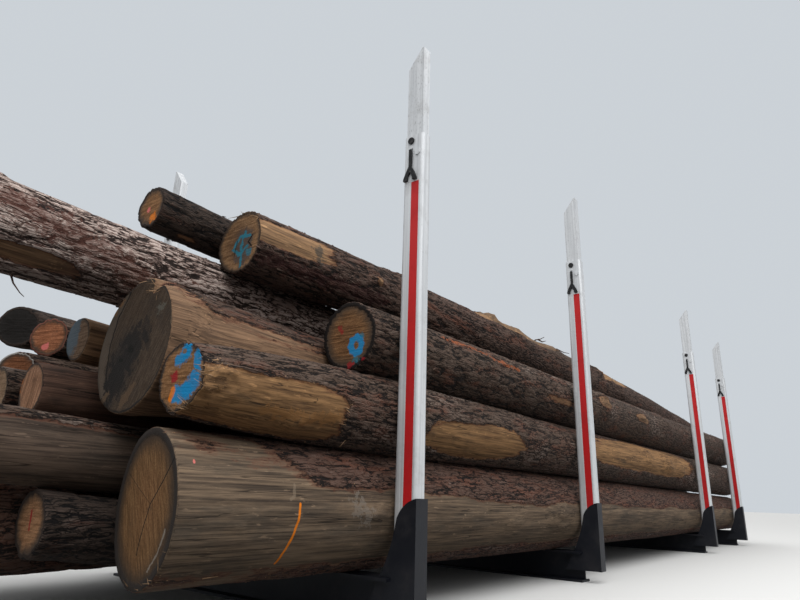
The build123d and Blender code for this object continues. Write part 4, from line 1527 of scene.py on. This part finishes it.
LOOKS = (
    LogLook(
        "log_01", across=250, fine_step=0.012, fine_length=1.6, coarse_step=0.13, ground=Ground.BARE,
        patches=(Patch(6.2, 102, 5.95, 66, Ground.BARK, 5), Patch(6.2, 262, 5.95, 35, Ground.BARK, 6)),
        knots=(
            Knot(0.91, 180, 0.07, 0.01), Knot(2.95, 185, 0.13, 0.024), Knot(0.177, 173, 0.022, 0.003),
            Knot(0.168, 182, 0.018, 0.003), Knot(0.231, 192, 0.022, 0.003), Knot(2.3, 196, 0.08, 0.01)),
        splinters=2600, flakes=150, edge_fray=0.5, frayed=(Patch(0.012, 235, 0.02, 35),), wood=GREYED,
        bark=replace(RED_BARK, pale_share=0.3), bark_depth=0.007,
        end=EndFinish(
            (0.29, 0.155, 0.07), (0.26, 0.145, 0.065), rim=(0.028, 0.022, 0.019),
            stain=(0.034, 0.025, 0.019), stain_share=0.3, saw_angle=-62, rim_width=0.032),
        side_marks=(
            Mark(
                ((0.537, 175.3), (0.532, 187.6), (0.519, 203.1), (0.505, 216.7), (0.5, 225.9)), 0.014,
                ORANGE, 0.2, 0.95),
            Mark(((0.515, 160), (0.508, 169), (0.49, 172)), 0.016, (0.22, 0.17, 0.12), 0.6, 0.5),
            Mark(((0.88, 174), (0.93, 186)), 0.1, (0.2, 0.175, 0.15), 1.2, 0.45),
            Mark(((0.078, 143), (0.076, 145)), 0.012, PINK, 0.5, 0.8)),
        end_marks=(
            scrawl(
                0.007, BLACK, (-1.049, 0.659), (-0.975, 0.575), (-0.892, 0.494), (-0.862, 0.42),
                (-0.843, 0.359), (-0.839, 0.327), ragged=0.4, strength=1.0),
            scrawl(
                0.004, BLACK, (-0.892, 0.494), (-0.77, 0.545), (-0.656, 0.595), ragged=0.4, strength=0.6),
            scrawl(
                0.01, (0.3, 0.27, 0.23), (-1.045, 0.42), (-1.01, 0.35), (-0.95, 0.285), ragged=1.0,
                strength=0.6)),
        pith=(-0.87, 0.497), end_rings=18),
    LogLook(
        "log_07", across=216, fine_step=0.012, fine_length=1.7, coarse_step=0.13,
        patches=(
            Patch(0.28, 214, 0.46, 51, power=4), Patch(1.86, 204, 0.52, 35, power=2.1),
            Patch(5.3, 163, 1.75, 44, power=2.4), Patch(1.7, 186, 0.16, 14, power=1.6)),
        knots=(
            Knot(0.484, 226, 0.05, 0.012), Knot(6.4, 190, 0.12, 0.025), Knot(0.0, 186, 0.13, 0.026),
            Knot(0.03, 176, 0.03, 0.012), Knot(0.1, 172, 0.03, 0.012), Knot(0.02, 195, 0.025, 0.01),
            Knot(5.9, 178, 0.12, 0.04), Knot(5.2, 160, 0.1, 0.024), Knot(1.2, 176, 0.1, 0.01)),
        splinters=9000, flakes=220, frayed=(Patch(0.04, 176, 0.075, 30), Patch(0.012, 250, 0.02, 40)),
        wood=WoodFinish((0.34, 0.19, 0.085), (0.095, 0.052, 0.026), (0.085, 0.058, 0.036), 0.4),
        bark=BarkFinish(rust_share=0.6, pale_share=0.55), lumps=0.009,
        end=EndFinish(
            (0.36, 0.19, 0.085), (0.38, 0.205, 0.095), saw_angle=-4, rim_width=0.008, stain_share=0.1,
            saw_depth=0.65),
        side_marks=(Mark(((0.3, 214), (0.55, 212), (0.68, 205)), 0.06, (0.36, 0.17, 0.055), 1.0, 0.45),),
        end_marks=(
            scrawl(0.066, BLUE, (-0.965, 1.025), (-0.925, 1.0)),
            scrawl(0.05, BLUE, (-0.972, 1.045), (-0.968, 1.02)),
            blot(-0.95, 1.03, 0.02, (0.2, 0.12, 0.06)),
            scrawl(0.052, BLUE, (-1.036, 1.005), (-1.042, 0.98)),
            scrawl(0.08, BLUE, (-1.04, 0.94), (-1.03, 0.905), (-1.0, 0.885)),
            scrawl(0.072, BLUE, (-1.0, 0.88), (-0.97, 0.872), (-0.93, 0.874)),
            blot(-0.907, 0.937, 0.05, RED), scrawl(0.034, ORANGE, (-0.912, 0.89), (-0.9, 0.86))),
        end_rings=12),
    LogLook(
        "log_13", across=232, fine_step=0.014, fine_length=0.8, coarse_step=0.16, ground=Ground.BARE,
        patches=(Patch(6.2, 104, 6.0, 61, Ground.BARK, 5), Patch(0.6, 152, 0.33, 5)),
        knots=(Knot(0.0, 117, 0.03, -0.055), Knot(0.17, 140, 0.04, 0.012), Knot(0.2, 160, 0.04, -0.01)),
        harmonics=40, end_rings=18, ledge=0.075, splinters=9000, flakes=100,
        frayed=(Patch(0.17, 146, 0.055, 20), Patch(0.02, 117, 0.03, 8)),
        wood=WoodFinish((0.25, 0.15, 0.088), (0.085, 0.051, 0.032), (0.085, 0.064, 0.048), 0.35),
        bark=BarkFinish(
            ridge=(0.06, 0.036, 0.026), rust_share=0.6, pale_share=0.1, plate=(3.0, 30.0, 30.0)),
        end=EndFinish(
            (0.05, 0.038, 0.03), (0.098, 0.07, 0.05), stain=(0.024, 0.021, 0.019), stain_share=0.62,
            rim_width=0.003, rim=(0.05, 0.038, 0.03), saw_angle=58, saw_depth=0.35),
        end_marks=(
            scrawl(
                0.17, (0.105, 0.08, 0.06), (-0.37, 1.335), (-0.3, 1.24), (-0.275, 1.1), (-0.285, 0.97),
                (-0.34, 0.86), ragged=0.22, strength=0.9),
            scrawl(0.045, (0.24, 0.125, 0.055), (-0.395, 1.34), (-0.345, 1.28), ragged=0.8, strength=0.7),
            scrawl(
                0.013, BLACK, (-0.455, 1.35), (-0.385, 1.25), (-0.355, 1.12), (-0.365, 1.0),
                (-0.42, 0.87), ragged=0.6, strength=0.9),
            scrawl(0.19, CHAR, (-0.57, 1.12), (-0.5, 1.06), (-0.45, 0.96), ragged=0.8, strength=0.92),
            scrawl(0.09, CHAR, (-0.43, 1.0), (-0.4, 0.9), (-0.385, 0.82), ragged=0.9, strength=0.75),
            scrawl(0.05, CHAR, (-0.66, 1.1), (-0.62, 1.2), ragged=0.9, strength=0.5),
            blot(-0.532, 1.087, 0.05, BLACK, 0.8, 1.0), blot(-0.47, 1.05, 0.035, BLACK, 0.8, 1.0),
            scrawl(0.045, (0.15, 0.095, 0.055), (-0.395, 0.9), (-0.33, 0.83), ragged=0.8, strength=0.6),
            scrawl(0.04, (0.13, 0.08, 0.046), (-0.6, 0.93), (-0.53, 0.86), ragged=0.8, strength=0.6),
            blot(-0.714, 1.23, 0.05, (0.15, 0.15, 0.125), 1.2, 0.5),
            scrawl(0.016, (0.2, 0.15, 0.1), (-0.81, 1.17), (-0.8, 1.25), ragged=0.9, strength=0.5)),
        pith=(-0.49, 1.05)),
    LogLook(
        "log_18", across=168, fine_step=0.014, fine_length=1.4, coarse_step=0.11, end_rings=10,
        splinters=1600, flakes=180, lumps=0.009, bark=BarkFinish(rust_share=0.6, pale_share=0.45),
        patches=(
            Patch(2.667, 176, 0.09, 18), Patch(2.3, 197, 0.3, 9), Patch(3.15, 165, 0.14, 16),
            Patch(4.2, 175, 0.16, 12)),
        knots=(
            Knot(2.667, 176, 0.06, 0.022), Knot(2.2, 192, 0.05, 0.012), Knot(3.15, 163, 0.11, 0.045),
            Knot(1.0, 165, 0.12, 0.01), Knot(1.6, 185, 0.1, 0.012), Knot(4.2, 172, 0.12, 0.035),
            Knot(5.1, 160, 0.14, 0.03)),
        end=EndFinish(
            (0.26, 0.135, 0.062), (0.38, 0.21, 0.098), rim=(0.012, 0.009, 0.008), rim_width=0.026,
            saw_depth=0.7),
        side_marks=(Mark(((0.62, 138), (0.98, 145), (1.53, 158)), 0.03, RUST, 1.3, 0.8),),
        end_marks=(
            hoop(-0.982, 1.24, 0.034, 0.04, 0.044, BLUE),
            scrawl(0.024, RED, (-0.882, 1.322), (-0.862, 1.345), ragged=1.1, strength=0.65),
            blot(-1.019, 1.285, 0.03, TEAL, 0.8, 0.6), blot(-1.033, 1.16, 0.035, RED, 0.8, 0.7),
            blot(-0.951, 1.144, 0.04, RED, 0.8, 0.7), blot(-0.985, 1.165, 0.045, TEAL, 0.8, 0.7))),
    LogLook(
        "log_25", across=190, fine_step=0.013, fine_length=1.6, coarse_step=0.14, end_rings=8,
        patches=(Patch(0.19, 227, 0.17, 15),), splinters=900, flakes=150,
        bark=BarkFinish(
            ridge=(0.235, 0.165, 0.14), pale=(0.5, 0.405, 0.36), rust=(0.17, 0.068, 0.045),
            rust_share=0.35, pale_share=1.15, furrow=(0.02, 0.013, 0.011)),
        side_marks=(
            Mark(((0.05, 165), (0.35, 185), (0.62, 208)), 0.16, (0.115, 0.045, 0.032), 0.9, 0.6),
            Mark(((0.3, 228), (0.9, 230), (1.5, 226)), 0.09, (0.04, 0.022, 0.016), 1.0, 0.5),
            Mark(((1.764, 126), (1.764, 152)), 0.01, BLACK, 0.2, 1.0)),
        knots=(Knot(0.491, 244, 0.06, -0.008), Knot(0.02, 110, 0.05, 0.012), Knot(0.6, 60, 0.03, 0.02))),
    LogLook(
        "log_26", across=168, fine_step=0.014, fine_length=1.3, coarse_step=0.11, end_rings=12,
        patches=(
            Patch(0.14, 166, 0.37, 23, power=4), Patch(0.87, 177, 0.045, 11),
            Patch(2.9, 130, 0.85, 24, power=2.2), Patch(5.0, 140, 0.5, 20), Patch(4.12, 169, 0.1, 12)),
        knots=(
            Knot(0.87, 177, 0.05, 0.022), Knot(4.62, 137, 0.07, 0.05), Knot(4.45, 130, 0.05, 0.03),
            Knot(4.9, 145, 0.06, 0.03), Knot(4.12, 169, 0.06, 0.018), Knot(2.35, 118, 0.1, 0.042),
            Knot(2.75, 125, 0.16, 0.026), Knot(1.15, 130, 0.1, 0.018), Knot(3.5, 140, 0.14, 0.018),
            Knot(5.21, 186, 0.08, 0.03)),
        splinters=5200, flakes=220, lumps=0.009,
        frayed=(Patch(4.6, 137, 0.14, 14), Patch(0.01, 120, 0.02, 60)),
        wood=WoodFinish((0.36, 0.21, 0.105), (0.125, 0.075, 0.043), (0.115, 0.085, 0.06), 0.35),
        bark=BarkFinish(ridge=(0.082, 0.05, 0.038), rust_share=0.5),
        side_marks=(
            Mark(((0.385, 166), (0.395, 182)), 0.085, (0.055, 0.05, 0.042), 1.1, 0.8),
            Mark(((2.3, 122), (2.75, 128), (3.3, 136), (3.9, 142)), 0.2, (0.085, 0.062, 0.045), 0.8, 0.6),
            Mark(((0.05, 214), (0.6, 212), (0.95, 212)), 0.1, (0.055, 0.02, 0.018), 0.9, 0.6)),
        end=EndFinish(
            (0.2, 0.115, 0.062), (0.38, 0.225, 0.115), rim=(0.05, 0.032, 0.022), rim_width=0.01),
        end_marks=(
            scrawl(
                0.15, (0.07, 0.055, 0.05), (-0.592, 1.735), (-0.592, 1.655), ragged=0.35, strength=0.8),
            scrawl(
                0.022, TEAL, (-0.636, 1.749), (-0.56, 1.76), (-0.512, 1.697), (-0.56, 1.66),
                (-0.62, 1.69), ragged=0.8),
            scrawl(0.02, TEAL, (-0.593, 1.776), (-0.575, 1.7), (-0.584, 1.601), ragged=0.9),
            blot(-0.64, 1.66, 0.04, TEAL, 0.8, 0.7),
            scrawl(
                0.011, BLACK, (-0.656, 1.745), (-0.625, 1.715), (-0.655, 1.69), ragged=0.8, strength=1.0),
            scrawl(0.009, BLACK, (-0.54, 1.74), (-0.525, 1.66), ragged=0.9, strength=0.8))),
    LogLook(
        "log_27", across=96, fine_step=0.025, fine_length=1.0, coarse_step=0.18, end_rings=8,
        # Its bark colour carries painted shade.
        patches=(Patch(0.188, 250, 0.1, 16),), flakes=150, bark=PAINTED_SHADE_BARK, splinters=800,
        end_marks=(blot(-0.286, 1.844, 0.036, PINK, 0.7), blot(-0.33, 1.783, 0.055, ORANGE, 0.8, 0.75))),
    LogLook(
        "log_08", across=120, fine_step=0.025, fine_length=0.9, coarse_step=0.18, ground=Ground.BARE,
        patches=(Patch(4.4, 92, 4.9, 42, Ground.BARK, 5),),
        wood=WoodFinish((0.115, 0.08, 0.058), (0.035, 0.024, 0.018), (0.055, 0.043, 0.034), 0.6),
        bark=BarkFinish(rust_share=0.5, pale_share=0.4), splinters=800),
    LogLook(
        # Its bark colour carries painted shade, for a side that lies in deep shade.
        "log_02", across=104, fine_step=0.025, fine_length=0.9, coarse_step=0.2, bark=PAINTED_SHADE_BARK,
        end=EndFinish((0.46, 0.255, 0.135), (0.46, 0.255, 0.135)),
        end_marks=(scrawl(0.016, RED, (-0.405, 0.455), (-0.415, 0.39), ragged=0.5),)),
    LogLook(
        "log_03", across=96, fine_step=0.03, fine_length=0.9, coarse_step=0.25,
        bark=replace(RED_BARK, pale_share=0.35)),
    LogLook(
        "log_14", across=96, fine_step=0.03, fine_length=0.9, coarse_step=0.25, ground=Ground.BARE,
        wood=WoodFinish((0.13, 0.072, 0.05), (0.035, 0.02, 0.015), (0.05, 0.035, 0.028), 0.4),
        side_marks=(Mark(((0.0, 176), (0.3, 178), (0.6, 170)), 0.006, BLACK, 0.4, 1.0),),
        end=EndFinish(
            (0.5, 0.275, 0.165), (0.58, 0.33, 0.21), saw_angle=78, rim_width=0.006, saw_depth=0.7),
        end_marks=(scrawl(0.05, ORANGE, (0.045, 0.985), (0.055, 0.91), ragged=0.9, strength=0.3),)),
    LogLook(
        "log_19", across=72, ground=Ground.BARE,
        end=EndFinish((0.24, 0.155, 0.1), (0.26, 0.17, 0.11), rim_width=0.006),
        end_marks=(
            scrawl(0.13, (0.085, 0.125, 0.155), (0.045, 1.33), (0.05, 1.18), ragged=0.3, strength=0.85),)),
    LogLook(
        # Its bark colour carries painted shade.
        "log_22", across=64, bark=PAINTED_SHADE_BARK,
        end=EndFinish(CHAR, (0.022, 0.02, 0.018), stain=CHAR, stain_share=0.4)),
    LogLook(
        "log_23", across=64,
        end=EndFinish((0.42, 0.17, 0.085), (0.42, 0.19, 0.1), rim=(0.16, 0.06, 0.04), rim_width=0.01),
        end_marks=(blot(0.485, 1.238, 0.045, PINK, 0.4, 1.0),)),
    LogLook(
        "log_20", across=64,
        end=EndFinish((0.25, 0.1, 0.045), (0.2, 0.11, 0.07), rim=(0.26, 0.24, 0.22), rim_width=0.01)),
    LogLook("log_15", across=64, end=EndFinish((0.36, 0.24, 0.15), (0.38, 0.26, 0.17), rim_width=0.006)),
    *(
        LogLook(
            f"log_{k:02d}", across=56, fine_step=0.12, coarse_step=0.4,
            ground=Ground.BARE if k % 4 == 1 else Ground.BARK,
            patches=(
                Patch(1.0 + 1.7 * k % 6, 77 * k % 360, 0.7, 34),
                Patch(3.0 + 2.3 * k % 7, 131 * k % 360, 0.5, 26), Patch(5.5, 90, 4.8, 75, Ground.BARK)),
            bark=replace(BarkFinish(), rust_share=0.25 + 0.07 * (k % 5), pale_share=0.2 + 0.15 * (k % 4)),
            wood=GREYED if k % 3 else WoodFinish())
        for k in (4, 5, 6, 9, 10, 11, 12, 16, 17, 21, 24)),
)

TWIGS = (
    Twig(
        "twig_under", "log_25", Ground.BARK, 0.009, -0.7,
        (((-5.285, -0.3, 1.335), (-5.275, -0.315, 1.3), (-5.25, -0.33, 1.265), (-5.235, -0.34, 1.25)),)),
    Twig(
        "torn_strip", "log_07", Ground.BARE, 0.007, -0.75,
        (
            (
                (-4.1, -1.015, 0.872), (-4.08, -1.04, 0.862), (-4.055, -1.045, 0.82),
                (-4.065, -1.035, 0.785), (-4.095, -1.02, 0.745)),
            (
                (-4.09, -1.02, 0.868), (-4.075, -1.045, 0.885), (-4.045, -1.05, 0.875),
                (-4.03, -1.04, 0.84)),
            ((-4.11, -1.01, 0.862), (-4.095, -1.04, 0.85), (-4.09, -1.045, 0.815)))),
    Twig(
        "top_twigs", "log_26", Ground.BARK, 0.016, -0.72,
        (
            ((-1.33, -0.66, 1.84), (-1.27, -0.675, 1.9), (-1.19, -0.69, 1.925), (-1.13, -0.7, 1.955)),
            ((-1.22, -0.68, 1.915), (-1.16, -0.69, 1.905), (-1.1, -0.7, 1.925)),
            (
                (-1.08, -0.64, 1.84), (-0.98, -0.665, 1.885), (-0.84, -0.69, 1.905), (-0.7, -0.7, 1.9),
                (-0.56, -0.7, 1.915)))),
)


def main() -> None:
    """Build the looks in order and log the triangle count of each new piece."""
    logging.basicConfig(level=logging.INFO, format="%(message)s")
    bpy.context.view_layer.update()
    Studio().build()
    StakeBunks().build()
    Stack(LOOKS).build()
    loose = LooseWood()
    loose.strew(LOOKS)
    loose.twigs()


if __name__ == "__main__":
    main()
